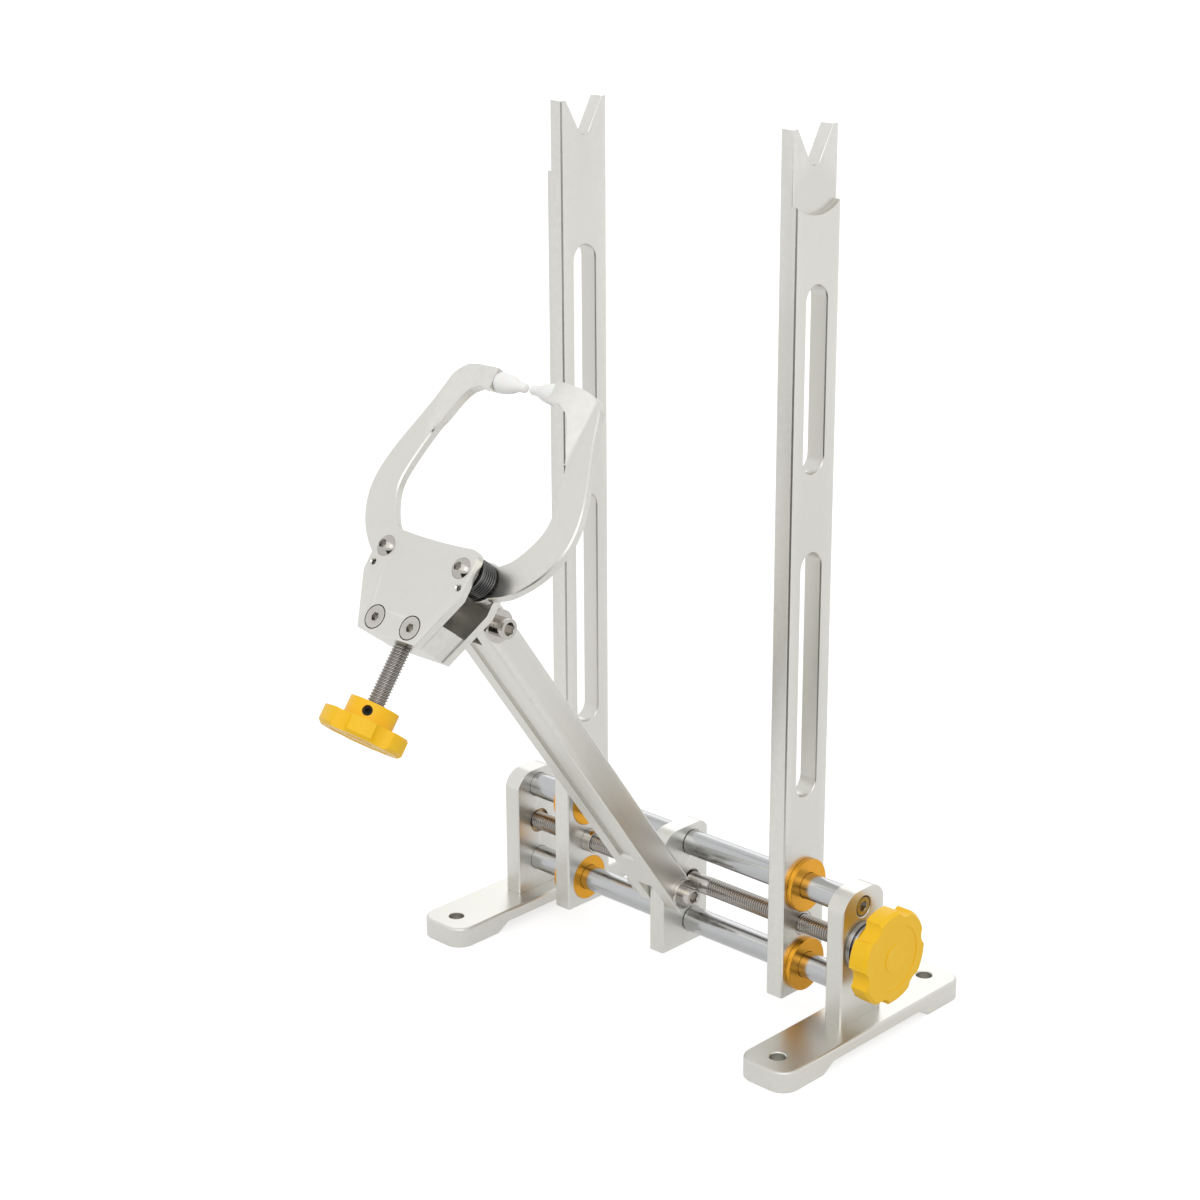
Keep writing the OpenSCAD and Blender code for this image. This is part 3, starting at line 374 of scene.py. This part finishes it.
class Shape:
    """A mesh being made with bmesh operators, in millimetres until it is finished."""

    LATHE_MERGE = 1e-4
    THREAD_MERGE = 1e-3
    SOLID_MERGE = 0.004
    FLAT_ANGLE = 0.4
    SPARE_TURNS = 2
    ARC_PROFILE = 0.5

    def __init__(self) -> None:
        """Starts an empty mesh."""
        self.bm = bmesh.new()

    def lathe(self, profile: Sequence[Point2], segments: int = 64) -> Shape:
        """Spins a profile of (radius, height) points round +Z.

        Args:
            profile: The points in order.
            segments: Faces round the axis.

        Returns:
            The shape itself.
        """
        verts = [self.bm.verts.new((r, 0.0, z)) for r, z in profile]
        edges = [self.bm.edges.new(pair) for pair in zip(verts, verts[1:])]
        bmesh.ops.spin(self.bm, geom=verts + edges, cent=(0, 0, 0), axis=(0, 0, 1),
                       angle=FULL_TURN, steps=segments, use_merge=True)
        bmesh.ops.remove_doubles(self.bm, verts=self.bm.verts[:], dist=self.LATHE_MERGE)
        return self

    def helix(self, profile: Sequence[Point2], pitch: float, start: float, end: float,
              steps: int = 28) -> Shape:
        """Winds one turn's profile into a right-hand thread, and cuts its ends flat.

        Args:
            profile: (radius, height) points of one turn, from 0 to the pitch.
            pitch: The thread's pitch.
            start: The height where the thread begins.
            end: The height where it ends.
            steps: Faces round a turn.

        Returns:
            The shape itself.
        """
        turns = math.ceil((end - start) / pitch) + self.SPARE_TURNS
        verts = [self.bm.verts.new((r, 0.0, start - pitch + z)) for r, z in profile]
        edges = [self.bm.edges.new(pair) for pair in zip(verts, verts[1:])]
        bmesh.ops.spin(self.bm, geom=verts + edges, cent=(0, 0, 0), axis=(0, 0, 1),
                       dvec=(0, 0, pitch / steps), angle=FULL_TURN * turns, steps=steps * turns)
        bmesh.ops.remove_doubles(self.bm, verts=self.bm.verts[:], dist=self.THREAD_MERGE)
        for height, direction in ((start, -1), (end, 1)):
            bmesh.ops.bisect_plane(self.bm, geom=self.bm.verts[:] + self.bm.edges[:] + self.bm.faces[:],
                                   plane_co=(0, 0, height), plane_no=(0, 0, direction), clear_outer=True)
        rims = [e for e in self.bm.edges if e.is_boundary]
        bmesh.ops.holes_fill(self.bm, edges=rims, sides=0)
        return self

    def solid(self, mesh: bpy.types.Mesh) -> Shape:
        """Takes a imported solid's mesh, with its loose triangles joined into flat faces.

        Args:
            mesh: The solid's mesh, in metres.

        Returns:
            The shape itself.
        """
        self.bm.from_mesh(mesh)
        bmesh.ops.scale(self.bm, verts=self.bm.verts[:], vec=(1 / MM, 1 / MM, 1 / MM))
        bmesh.ops.remove_doubles(self.bm, verts=self.bm.verts[:], dist=self.SOLID_MERGE)
        bmesh.ops.dissolve_limit(self.bm, angle_limit=math.radians(self.FLAT_ANGLE), verts=self.bm.verts[:],
                                 edges=self.bm.edges[:], use_dissolve_boundaries=False)
        return self

    def bevel(self, width: float, segments: int, angle: float, spare: Spare | None = None) -> Shape:
        """Chamfers or rounds every edge that is sharper than an angle.

        Args:
            width: The bevel's width.
            segments: Faces across it.
            angle: The least angle between two faces, in degrees.
            spare: Says which points keep sharp edges. The other edges then get the full
                width, where they otherwise share the width that the shortest edge allows.

        Returns:
            The shape itself.
        """
        limit = math.radians(angle)
        sharp = [e for e in self.bm.edges if len(e.link_faces) == 2 and e.calc_face_angle(0) > limit
                 and not (spare and any(spare(v.co) for v in e.verts))]
        bmesh.ops.bevel(self.bm, geom=sharp, offset=width, offset_type="OFFSET", affect="EDGES",
                        segments=segments, profile=self.ARC_PROFILE, clamp_overlap=spare is None,
                        material=-1)
        return self

    def along_x(self) -> Shape:
        """Turns the shape's +Z to +X."""
        bmesh.ops.rotate(self.bm, verts=self.bm.verts[:], cent=(0, 0, 0),
                         matrix=Matrix.Rotation(math.pi / 2, 3, "Y"))
        return self

    def move(self, x: float = 0.0, y: float = 0.0, z: float = 0.0) -> Shape:
        """Moves the shape, in millimetres."""
        bmesh.ops.translate(self.bm, verts=self.bm.verts[:], vec=(x, y, z))
        return self

    def mirror_x(self) -> Shape:
        """Mirrors the shape in X."""
        bmesh.ops.scale(self.bm, verts=self.bm.verts[:], vec=(-1, 1, 1))
        return self

    def mirror_z(self) -> Shape:
        """Mirrors the shape in Z."""
        bmesh.ops.scale(self.bm, verts=self.bm.verts[:], vec=(1, 1, -1))
        return self

    def add(self, other: Shape) -> Shape:
        """Joins another shape to this one."""
        mesh = bpy.data.meshes.new("joined")
        other.bm.to_mesh(mesh)
        other.bm.free()
        self.bm.from_mesh(mesh)
        bpy.data.meshes.remove(mesh)
        return self

    def finish(self, name: str, place: Matrix | None = None, smooth: float = 40.0) -> bpy.types.Object:
        """Turns the shape into an object at the origin, in metres.

        Args:
            name: The object's name.
            place: The frame that the shape was drawn in, in millimetres.
            smooth: Edges sharper than this angle, in degrees, stay sharp.

        Returns:
            The object.
        """
        if place is not None:
            bmesh.ops.transform(self.bm, verts=self.bm.verts[:], matrix=place)
        bmesh.ops.scale(self.bm, verts=self.bm.verts[:], vec=(MM, MM, MM))
        bmesh.ops.recalc_face_normals(self.bm, faces=self.bm.faces[:])
        limit = math.radians(smooth)
        for face in self.bm.faces:
            face.smooth = True
        for edge in self.bm.edges:
            edge.smooth = len(edge.link_faces) == 2 and edge.calc_face_angle(0) < limit
        mesh = bpy.data.meshes.new(name)
        self.bm.to_mesh(mesh)
        self.bm.free()
        made = bpy.data.objects.new(name, mesh)
        bpy.context.scene.collection.objects.link(made)
        return made


class Workshop:
    """Makes pieces ready to show: dresses them, places them on bodies and replaces solids."""

    SMOOTH_MARGIN = 8.0
    FACE_WEIGHT = 100
    KNOB_EDGE = 0.9
    KNOB_ANGLE = 30.0

    def __init__(self, nodes: dict[str, bpy.types.Object]) -> None:
        """Builds every finish.

        Args:
            nodes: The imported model's nodes.
        """
        self.nodes = nodes
        effects = SurfaceEffects()
        self.materials = {finish.slot: finish.build(effects) for finish in FINISHES}
        self.dull_black = DULL_BLACK.build(effects, "_dull")

    def dress(self, piece: bpy.types.Object, slot: Slot) -> None:
        """Gives a piece its material."""
        piece.data.materials.clear()
        piece.data.materials.append(self.materials[slot])

    def dress_node(self, node: str, slot: Slot, finish: bpy.types.Material | None = None) -> None:
        """Gives a solid that stays its material, or a finish of its own."""
        piece = self.nodes[node]
        for index in range(len(piece.material_slots)):
            piece.material_slots[index].material = finish or self.materials[slot]
        LOG.info("dressed %s", node)

    def fit(self, piece: bpy.types.Object, body: Body, slot: Slot, *nodes: str) -> None:
        """Dresses a new piece, sets it on its body and lets it stand for solids."""
        self.dress(piece, slot)
        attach(piece, body.value)
        if nodes:
            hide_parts(*nodes)
        LOG.info("built %s", piece.name)

    def refined(self, node: str, body: Body, slot: Slot, edge: float, segments: int = ROUND,
                angle: float = 28.0, spare: Spare | None = None) -> None:
        """Replaces a machined solid with a copy whose edges are chamfered or rounded.

        Args:
            node: The solid's name.
            body: The body that it rides on.
            slot: Its material slot.
            edge: The width of the bevel, in millimetres.
            segments: Faces across the bevel.
            angle: The least angle that counts as an edge, in degrees.
            spare: Says which points keep sharp edges.
        """
        shape = Shape().solid(self.nodes[node].data).bevel(edge, segments, angle, spare)
        piece = shape.finish(node + "_finished", smooth=angle + self.SMOOTH_MARGIN)
        modifier = piece.modifiers.new("weighted", "WEIGHTED_NORMAL")
        modifier.keep_sharp = True
        modifier.weight = self.FACE_WEIGHT
        self.fit(piece, body, slot, node)

    def knob(self, node: str, body: Body) -> None:
        """Replaces a moulded knob with a copy whose edges are well rounded."""
        self.refined(node, body, Slot.YELLOW, self.KNOB_EDGE, MOULDED, self.KNOB_ANGLE)


@dataclass(frozen=True)
class Lean:
    """Where the swing arm and the caliper head stand, in millimetres."""

    pivot_y: float = -17.3
    pivot_z: float = 53.0
    arm_length: float = 228.7
    arm_lean: float = 35.6
    head_lean: float = 37.0
    pivot_depth: float = 50.4
    pivot_up: float = 22.8

    def arm(self) -> Matrix:
        """Returns the arm's frame: Z along it from the lower pivot."""
        turn = Matrix.Rotation(math.radians(self.arm_lean), 4, "X")
        return Matrix.Translation((0, self.pivot_y, self.pivot_z)) @ turn

    def head(self) -> Matrix:
        """Returns the head's frame: Z along its plates, Y back through them."""
        upper = self.arm() @ Vector((0, 0, self.arm_length))
        turn = Matrix.Rotation(math.radians(-self.head_lean), 4, "X")
        return Matrix.Translation(upper) @ turn @ Matrix.Translation((0, -self.pivot_depth, -self.pivot_up))


LEAN = Lean()


@dataclass(frozen=True)
class BaseFrame:
    """Feet, end plates, guide rods and the centre bracket."""

    foot_edge: float = 0.5
    plate_edge: float = 0.5
    rod_edge: float = 0.5
    screw_edge: float = 0.3
    race_edge: float = 0.2

    def build(self, shop: Workshop) -> None:
        """Makes and dresses the base.

        Args:
            shop: Where pieces are finished.
        """
        for side in ("left", "right"):
            shop.refined(f"{side}_foot", Body.BASE, Slot.ALUMINIUM, self.foot_edge, CHAMFER)
            shop.refined(f"{side}_end_plate", Body.BASE, Slot.ALUMINIUM, self.plate_edge, CHAMFER)
        shop.refined("centre_bracket", Body.BASE, Slot.ALUMINIUM, self.plate_edge, CHAMFER)
        for rod in ("upper_guide_rod", "lower_guide_rod"):
            shop.refined(rod, Body.BASE, Slot.POLISHED, self.rod_edge)
        shop.refined("rod_end_screws", Body.BASE, Slot.STAINLESS, self.screw_edge)
        shop.dress_node("foot_screws", Slot.STAINLESS)
        shop.dress_node("leadscrew_bushes", Slot.BRONZE)
        shop.dress_node("bracket_set_screws", Slot.THREAD)
        shop.refined("outer_thrust_race", Body.BASE, Slot.POLISHED, self.race_edge)


@dataclass(frozen=True)
class Thread:
    """A rolled thread's form, in millimetres, with its depth and flats as shares of the pitch.

    Its faces blend where they meet at less than the smooth angle, in degrees.
    """

    radius: float
    pitch: float
    ratio: float = 0.5
    root: float = 0.08
    crest: float = 0.42
    smooth: float = 50.0

    def profile(self) -> list[Point2]:
        """Returns one turn's (radius, height) points."""
        low = self.radius - self.pitch * self.ratio
        p = self.pitch
        return [(low, 0.0), (low, self.root * p), (self.radius, self.crest * p),
                (self.radius, (1 - self.crest) * p), (low, (1 - self.root) * p), (low, p)]


@dataclass(frozen=True)
class Leadscrew:
    """The leadscrew with its two threaded halves, its knob and its bearing."""

    height: float = 52.4
    thread: Thread = Thread(5.0, 1.5, 0.45)
    plain_half: float = 20.0
    thread_end: float = 113.0
    journal: float = 4.0
    chamfer: float = 0.6
    right_end: float = 141.2
    left_end: float = 124.7
    ring_edge: float = 0.3
    race_edge: float = 0.2

    def build(self, shop: Workshop) -> None:
        """Makes and dresses the leadscrew's body.

        Args:
            shop: Where pieces are finished.
        """
        plain, wide, bevel = self.plain_half, self.thread.radius, self.chamfer
        screw = Shape().lathe([(0, -self.left_end), (self.journal - bevel, -self.left_end),
                               (self.journal, bevel - self.left_end), (self.journal, -plain),
                               (wide - bevel, -plain), (wide, bevel - plain), (wide, plain - bevel),
                               (wide - bevel, plain), (self.journal, plain),
                               (self.journal, self.right_end), (0, self.right_end)])
        for sign in (-1, 1):
            half = Shape().helix(self.thread.profile(), self.thread.pitch, self.plain_half, self.thread_end)
            if sign < 0:
                half.mirror_z()
            screw.add(half)
        piece = screw.along_x().move(z=self.height).finish("leadscrew_threads", smooth=self.thread.smooth)
        shop.fit(piece, Body.LEADSCREW, Slot.THREAD, "leadscrew")
        shop.knob("leadscrew_knob", Body.LEADSCREW)
        shop.refined("leadscrew_retaining_ring", Body.LEADSCREW, Slot.POLISHED, self.ring_edge)
        shop.dress_node("leadscrew_knob_set_screw", Slot.BLACK, shop.dull_black)
        shop.dress_node("thrust_cage", Slot.BLACK)
        shop.refined("inner_thrust_race", Body.LEADSCREW, Slot.POLISHED, self.race_edge)


@dataclass(frozen=True)
class Uprights:
    """The two slotted uprights with their bushings and nuts."""

    edge: float = 0.6
    fitting_edge: float = 0.4

    def build(self, shop: Workshop) -> None:
        """Makes and dresses both uprights.

        Args:
            shop: Where pieces are finished.
        """
        for side, body in (("left", Body.LEFT_UPRIGHT), ("right", Body.RIGHT_UPRIGHT)):
            shop.refined(f"{side}_upright", body, Slot.ALUMINIUM, self.edge, CHAMFER)
            shop.refined(f"{side}_rod_bushings", body, Slot.GOLD, self.fitting_edge)
            shop.refined(f"{side}_leadscrew_nut", body, Slot.STAINLESS, self.fitting_edge)


@dataclass(frozen=True)
class SwingArm:
    """The leaning arm with its two pivot bolts."""

    edge: float = 0.5
    bolt_edge: float = 0.35
    washer_edge: float = 0.2
    nut_edge: float = 0.4

    def build(self, shop: Workshop) -> None:
        """Makes and dresses the arm.

        Args:
            shop: Where pieces are finished.
        """
        shop.refined("swing_arm", Body.ARM, Slot.ALUMINIUM, self.edge, CHAMFER)
        shop.refined("pivot_bolts", Body.ARM, Slot.STAINLESS, self.bolt_edge)
        shop.refined("pivot_washers", Body.ARM, Slot.STAINLESS, self.washer_edge)
        shop.refined("pivot_nuts", Body.ARM, Slot.STAINLESS, self.nut_edge)


@dataclass(frozen=True)
class ArmSpring:
    """A wound spring round a caliper arm's pivot, in the head's frame."""

    pivot_x: float = 25.7
    pivot_up: float = 33.9
    coil: float = 8.7
    wire: float = 0.55
    pitch: float = 1.55
    first: float = 5.25
    hole_x: float = 29.2
    hole_up: float = 24.8
    leg: tuple[float, ...] = (1.0, 2.4, 3.6, 4.6, 5.1)
    tail: float = 5.0
    steps: int = 32
    lead_in: int = 12
    rounding: int = 4
    smooth: float = 60.0

    def path(self, turns: float) -> list[Vector]:
        """Returns the wire's path for a right-hand arm.

        Args:
            turns: Turns round the pivot.

        Returns:
            Points in the head's frame, relative to the pivot.
        """
        start = math.atan2(self.hole_up - self.pivot_up, self.hole_x - self.pivot_x)
        reach = math.hypot(self.hole_x - self.pivot_x, self.hole_up - self.pivot_up)
        points = [Vector((reach * math.cos(start), y, reach * math.sin(start))) for y in self.leg]
        for i in range(1, round(turns * self.steps) + 1):
            angle = start + FULL_TURN * i / self.steps
            blend = max(0.0, 1 - i / self.lead_in)
            radius = self.coil + (reach - self.coil) * blend
            points.append(Vector((radius * math.cos(angle), self.first + self.pitch * i / self.steps,
                                  radius * math.sin(angle))))
        last = start + FULL_TURN * turns
        way = Vector((-math.sin(last), 0, math.cos(last)))
        points += [points[-1] + way * step for step in (self.tail / 2, self.tail)]
        return points

    def build(self, shop: Workshop, name: str, turns: float, mirrored: bool) -> None:
        """Makes one spring.

        Args:
            shop: Where pieces are finished.
            name: The solid that it stands for.
            turns: Turns round the pivot.
            mirrored: Whether it is the left spring.
        """
        curve = bpy.data.curves.new(name + "_wire", "CURVE")
        curve.dimensions = "3D"
        curve.bevel_depth = self.wire
        curve.bevel_resolution = self.rounding
        curve.use_fill_caps = True
        points = [Vector((self.pivot_x, 0, self.pivot_up)) + p for p in self.path(turns)]
        spline = curve.splines.new("POLY")
        spline.points.add(len(points) - 1)
        for target, point in zip(spline.points, points):
            target.co = (*point, 1.0)
        temporary = bpy.data.objects.new(name + "_path", curve)
        bpy.context.scene.collection.objects.link(temporary)
        mesh = bpy.data.meshes.new_from_object(temporary)
        bpy.data.objects.remove(temporary)
        shape = Shape()
        shape.bm.from_mesh(mesh)
        bpy.data.meshes.remove(mesh)
        if mirrored:
            shape.mirror_x()
        piece = shape.finish(name + "_wound", LEAN.head(), smooth=self.smooth)
        shop.fit(piece, Body.HEAD, Slot.BLACK, name)


@dataclass(frozen=True)
class CaliperHead:
    """The caliper's plates, block, lug and screws."""

    edge: float = 0.45
    screw_edge: float = 0.15
    spring: ArmSpring = ArmSpring()
    right_turns: float = 6.5
    left_turns: float = 2.5

    def build(self, shop: Workshop) -> None:
        """Makes and dresses the head.

        Args:
            shop: Where pieces are finished.
        """
        for node in ("caliper_front_plate", "caliper_rear_plate", "caliper_block", "caliper_lug"):
            shop.refined(node, Body.HEAD, Slot.ALUMINIUM, self.edge, CHAMFER)
        for node in ("block_screws", "lug_screws", "arm_pivot_screws"):
            shop.refined(node, Body.HEAD, Slot.STAINLESS, self.screw_edge)
        shop.dress_node("left_pivot_sleeve", Slot.BLACK)
        shop.dress_node("right_pivot_sleeve", Slot.BLACK)
        shop.dress_node("left_pivot_spacer", Slot.STAINLESS)
        self.spring.build(shop, "right_arm_spring", self.right_turns, mirrored=False)
        self.spring.build(shop, "left_arm_spring", self.left_turns, mirrored=True)


@dataclass(frozen=True)
class CaliperArms:
    """The two curved arms and their nylon tips, whose ends keep sharp edges."""

    edge: float = 0.6
    sharp_angle: float = 35.0
    end_reach: float = 42.0
    end_low: float = 325.0
    tip_depth: float = 16.3
    tip_up: float = 130.1
    tip_faces: int = 48
    tip_smooth: float = 50.0
    tip_profile: tuple[Point2, ...] = (
        (0.0, 1.7), (1.5, 1.8), (2.15, 2.15), (2.45, 2.9), (2.5, 5.6), (2.75, 7.2), (3.3, 8.6), (4.0, 10.2),
        (4.6, 12.4), (5.05, 15.0), (5.25, 17.4), (5.3, 19.4), (5.0, 19.75), (2.0, 19.75), (2.0, 25.75),
        (0.0, 25.75),
    )

    def at_end(self, point: Vector) -> bool:
        """Tells whether a point is on an arm's end, where edges are too close for the chamfer."""
        return abs(point.x) <= self.end_reach and point.z >= self.end_low

    def build(self, shop: Workshop) -> None:
        """Makes and dresses both caliper arms.

        Args:
            shop: Where pieces are finished.
        """
        for side, body in (("left", Body.LEFT_CALIPER), ("right", Body.RIGHT_CALIPER)):
            shop.refined(f"{side}_caliper_arm", body, Slot.ALUMINIUM, self.edge, CHAMFER,
                         self.sharp_angle, self.at_end)
            tip = Shape().lathe(self.tip_profile, self.tip_faces).along_x()
            tip.move(y=self.tip_depth, z=self.tip_up)
            if side == "left":
                tip.mirror_x()
            piece = tip.finish(f"{side}_contact_tip_turned", LEAN.head(), smooth=self.tip_smooth)
            shop.fit(piece, body, Slot.NYLON, f"{side}_contact_tip")


@dataclass(frozen=True)
class CaliperScrew:
    """The caliper's screw, knob and pusher."""

    depth: float = 13.15
    thread: Thread = Thread(4.5, 1.5, 0.5)
    top: float = 15.6
    shoulder: float = 16.6
    pin: float = 2.5
    pin_end: float = 23.7
    pin_chamfer: float = 0.4
    hub_top: float = -37.5
    screw_end: float = -53.5
    root: float = 3.6
    faces: int = 40
    pusher_edge: float = 0.3

    def build(self, shop: Workshop) -> None:
        """Makes and dresses the screw and the pusher.

        Args:
            shop: Where pieces are finished.
        """
        screw = Shape().lathe([(0, self.screw_end), (self.root, self.screw_end),
                               (self.root, self.shoulder), (self.pin, self.shoulder),
                               (self.pin, self.pin_end - self.pin_chamfer),
                               (self.pin - self.pin_chamfer, self.pin_end), (0, self.pin_end)], self.faces)
        screw.add(Shape().helix(self.thread.profile(), self.thread.pitch, self.hub_top, self.top))
        screw.move(y=self.depth)
        piece = screw.finish("caliper_screw_thread", LEAN.head(), smooth=self.thread.smooth)
        shop.fit(piece, Body.CALIPER_SCREW, Slot.THREAD, "caliper_screw")
        shop.knob("caliper_knob", Body.CALIPER_SCREW)
        shop.dress_node("caliper_knob_set_screw", Slot.BLACK, shop.dull_black)
        shop.refined("caliper_pusher", Body.PUSHER, Slot.STAINLESS, self.pusher_edge)


@dataclass(frozen=True)
class Lamp:
    """A round area lamp: its place and width in millimetres, and its power in watts."""

    name: str
    place: tuple[float, float, float]
    size: float
    power: float


@dataclass(frozen=True)
class Card:
    """A flat card on the floor: its corners in millimetres, its grey and its glow."""

    name: str
    corners: tuple[Point2, ...]
    grey: float
    glow: float


@dataclass(frozen=True)
class Studio:
    """A plain pale floor, soft lamps and the camera at the photograph's view."""

    azimuth: float = 43.81
    elevation: float = 18.71
    roll: float = -0.317
    distance: float = 1363.67
    target: tuple[float, float, float] = (-62.66, 0.0, 196.71)
    focal_px: float = 2518.1
    frame_px: float = 1200.0
    sensor: float = 36.0
    far_clip: float = 50.0
    lamps: tuple[Lamp, ...] = (
        Lamp("key", (900.0, -1800.0, 2000.0), 2600.0, 8.0),
        Lamp("side", (1850.0, -1170.0, 1550.0), 1700.0, 6.0),
        Lamp("back", (-1200.0, 1700.0, 1200.0), 1400.0, 3.0),
    )
    lamp_aim: tuple[float, float, float] = (0.0, -60.0, 200.0)
    cards: tuple[Card, ...] = (
        Card("dark_card", ((400.0, -90.0), (90.0, -400.0), (700.0, -5000.0), (5000.0, -700.0)), 0.02, 0.0),
        Card("bright_card", ((1500.0, 350.0), (3400.0, 800.0), (800.0, 3400.0), (350.0, 1500.0)), 0.0, 1.1),
    )
    card_height: float = 1.0
    world_light: float = 0.85
    world_seen: float = 1.0
    floor_size: float = 6.0
    floor_grey: tuple[float, ...] = (0.60, 0.60, 0.60, 1.0)
    floor_roughness: float = 0.9
    floor_seen: float = 0.60
    floor_mirrored: float = 0.38

    def build(self) -> None:
        """Makes the floor, the lamps, the world and the camera."""
        self._camera()
        self._world()
        self._floor()
        for card in self.cards:
            self._card(card)
        for lamp in self.lamps:
            self._lamp(lamp)

    def _camera(self) -> None:
        """Places the camera."""
        az, el, roll = (math.radians(v) for v in (self.azimuth, self.elevation, self.roll))
        back = Vector((math.sin(az) * math.cos(el), -math.cos(az) * math.cos(el), math.sin(el)))
        right = Vector((math.cos(az), math.sin(az), 0.0))
        up = back.cross(right)
        right, up = (right * math.cos(roll) + up * math.sin(roll),
                     up * math.cos(roll) - right * math.sin(roll))
        data = bpy.data.cameras.new("camera")
        data.sensor_width = self.sensor
        data.lens = self.focal_px / self.frame_px * self.sensor
        data.clip_end = self.far_clip
        camera = bpy.data.objects.new("camera", data)
        place = Matrix((right, up, back)).transposed().to_4x4()
        place.translation = (Vector(self.target) + back * self.distance) * MM
        camera.matrix_world = place
        bpy.context.scene.collection.objects.link(camera)
        bpy.context.scene.camera = camera
        bpy.context.scene.view_settings.view_transform = "Standard"

    def _world(self) -> None:
        """Makes a world that is white to the camera and to reflections, and soft as a light."""
        world = bpy.data.worlds.new("studio")
        world.use_nodes = True
        bpy.context.scene.world = world
        tree = world.node_tree
        tree.nodes.clear()
        path = tree.nodes.new("ShaderNodeLightPath")
        seen = tree.nodes.new("ShaderNodeMath")
        seen.operation = "MAXIMUM"
        tree.links.new(path.outputs["Is Camera Ray"], seen.inputs[0])
        tree.links.new(path.outputs["Is Glossy Ray"], seen.inputs[1])
        through = tree.nodes.new("ShaderNodeMath")
        through.operation = "MAXIMUM"
        tree.links.new(seen.outputs[0], through.inputs[0])
        tree.links.new(path.outputs["Is Transmission Ray"], through.inputs[1])
        light = tree.nodes.new("ShaderNodeBackground")
        light.inputs["Color"].default_value = WHITE
        light.inputs["Strength"].default_value = self.world_light
        white = tree.nodes.new("ShaderNodeBackground")
        white.inputs["Color"].default_value = WHITE
        white.inputs["Strength"].default_value = self.world_seen
        mix = tree.nodes.new("ShaderNodeMixShader")
        tree.links.new(through.outputs[0], mix.inputs["Fac"])
        tree.links.new(light.outputs[0], mix.inputs[1])
        tree.links.new(white.outputs[0], mix.inputs[2])
        out = tree.nodes.new("ShaderNodeOutputWorld")
        tree.links.new(mix.outputs[0], out.inputs["Surface"])

    def _floor(self) -> None:
        """Makes the floor, which the camera sees white and the metal mirrors more faintly."""
        mesh = bpy.data.meshes.new("floor")
        bm = bmesh.new()
        bmesh.ops.create_grid(bm, x_segments=1, y_segments=1, size=self.floor_size)
        bm.to_mesh(mesh)
        bm.free()
        floor = bpy.data.objects.new("floor", mesh)
        bpy.context.scene.collection.objects.link(floor)
        material = bpy.data.materials.new("floor")
        material.use_nodes = True
        tree = material.node_tree
        shader = tree.nodes["Principled BSDF"]
        shader.inputs["Base Color"].default_value = self.floor_grey
        shader.inputs["Roughness"].default_value = self.floor_roughness
        shader.inputs["Specular IOR Level"].default_value = 0.0
        shader.inputs["Emission Color"].default_value = WHITE
        path = tree.nodes.new("ShaderNodeLightPath")
        mirrored = tree.nodes.new("ShaderNodeMath")
        mirrored.operation = "MAXIMUM"
        tree.links.new(path.outputs["Is Glossy Ray"], mirrored.inputs[0])
        tree.links.new(path.outputs["Is Transmission Ray"], mirrored.inputs[1])
        faint = tree.nodes.new("ShaderNodeMath")
        faint.operation = "MULTIPLY"
        faint.inputs[1].default_value = self.floor_mirrored
        tree.links.new(mirrored.outputs[0], faint.inputs[0])
        glow = tree.nodes.new("ShaderNodeMath")
        glow.operation = "MULTIPLY_ADD"
        glow.inputs[1].default_value = self.floor_seen
        tree.links.new(path.outputs["Is Camera Ray"], glow.inputs[0])
        tree.links.new(faint.outputs[0], glow.inputs[2])
        tree.links.new(glow.outputs[0], shader.inputs["Emission Strength"])
        mesh.materials.append(material)

    def _card(self, card: Card) -> None:
        """Lays a card on the floor that only reflections see, for contrast in the metal.

        Args:
            card: What to lay.
        """
        mesh = bpy.data.meshes.new(card.name)
        bm = bmesh.new()
        bm.faces.new([bm.verts.new((x * MM, y * MM, self.card_height * MM)) for x, y in card.corners])
        bm.to_mesh(mesh)
        bm.free()
        laid = bpy.data.objects.new(card.name, mesh)
        for ray in ("camera", "diffuse", "shadow", "transmission"):
            setattr(laid, f"visible_{ray}", False)
        bpy.context.scene.collection.objects.link(laid)
        material = bpy.data.materials.new(card.name)
        material.use_nodes = True
        shader = material.node_tree.nodes["Principled BSDF"]
        shader.inputs["Base Color"].default_value = (card.grey, card.grey, card.grey, 1.0)
        shader.inputs["Roughness"].default_value = 1.0
        shader.inputs["Specular IOR Level"].default_value = 0.0
        shader.inputs["Emission Color"].default_value = WHITE
        shader.inputs["Emission Strength"].default_value = card.glow
        mesh.materials.append(material)

    def _lamp(self, lamp: Lamp) -> None:
        """Adds an area lamp aimed at the stand's middle.

        Args:
            lamp: What to add.
        """
        data = bpy.data.lights.new(lamp.name, "AREA")
        data.shape = "DISK"
        data.size = lamp.size * MM
        data.energy = lamp.power
        hung = bpy.data.objects.new(lamp.name, data)
        way = (Vector(lamp.place) - Vector(self.lamp_aim)).normalized()
        turn = way.to_track_quat("Z", "Y").to_matrix().to_4x4()
        turn.translation = Vector(lamp.place) * MM
        hung.matrix_world = turn
        bpy.context.scene.collection.objects.link(hung)


def main() -> None:
    """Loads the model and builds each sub-assembly."""
    logging.basicConfig(level=logging.INFO, format="%(message)s", stream=sys.stdout)
    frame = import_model()
    shop = Workshop(frame["nodes"])
    parts: tuple[object, ...] = (BaseFrame(), Leadscrew(), Uprights(), SwingArm(), CaliperHead(),
                                 CaliperArms(), CaliperScrew())
    for part in parts:
        part.build(shop)
    Studio().build()


if __name__ == "__main__":
    main()
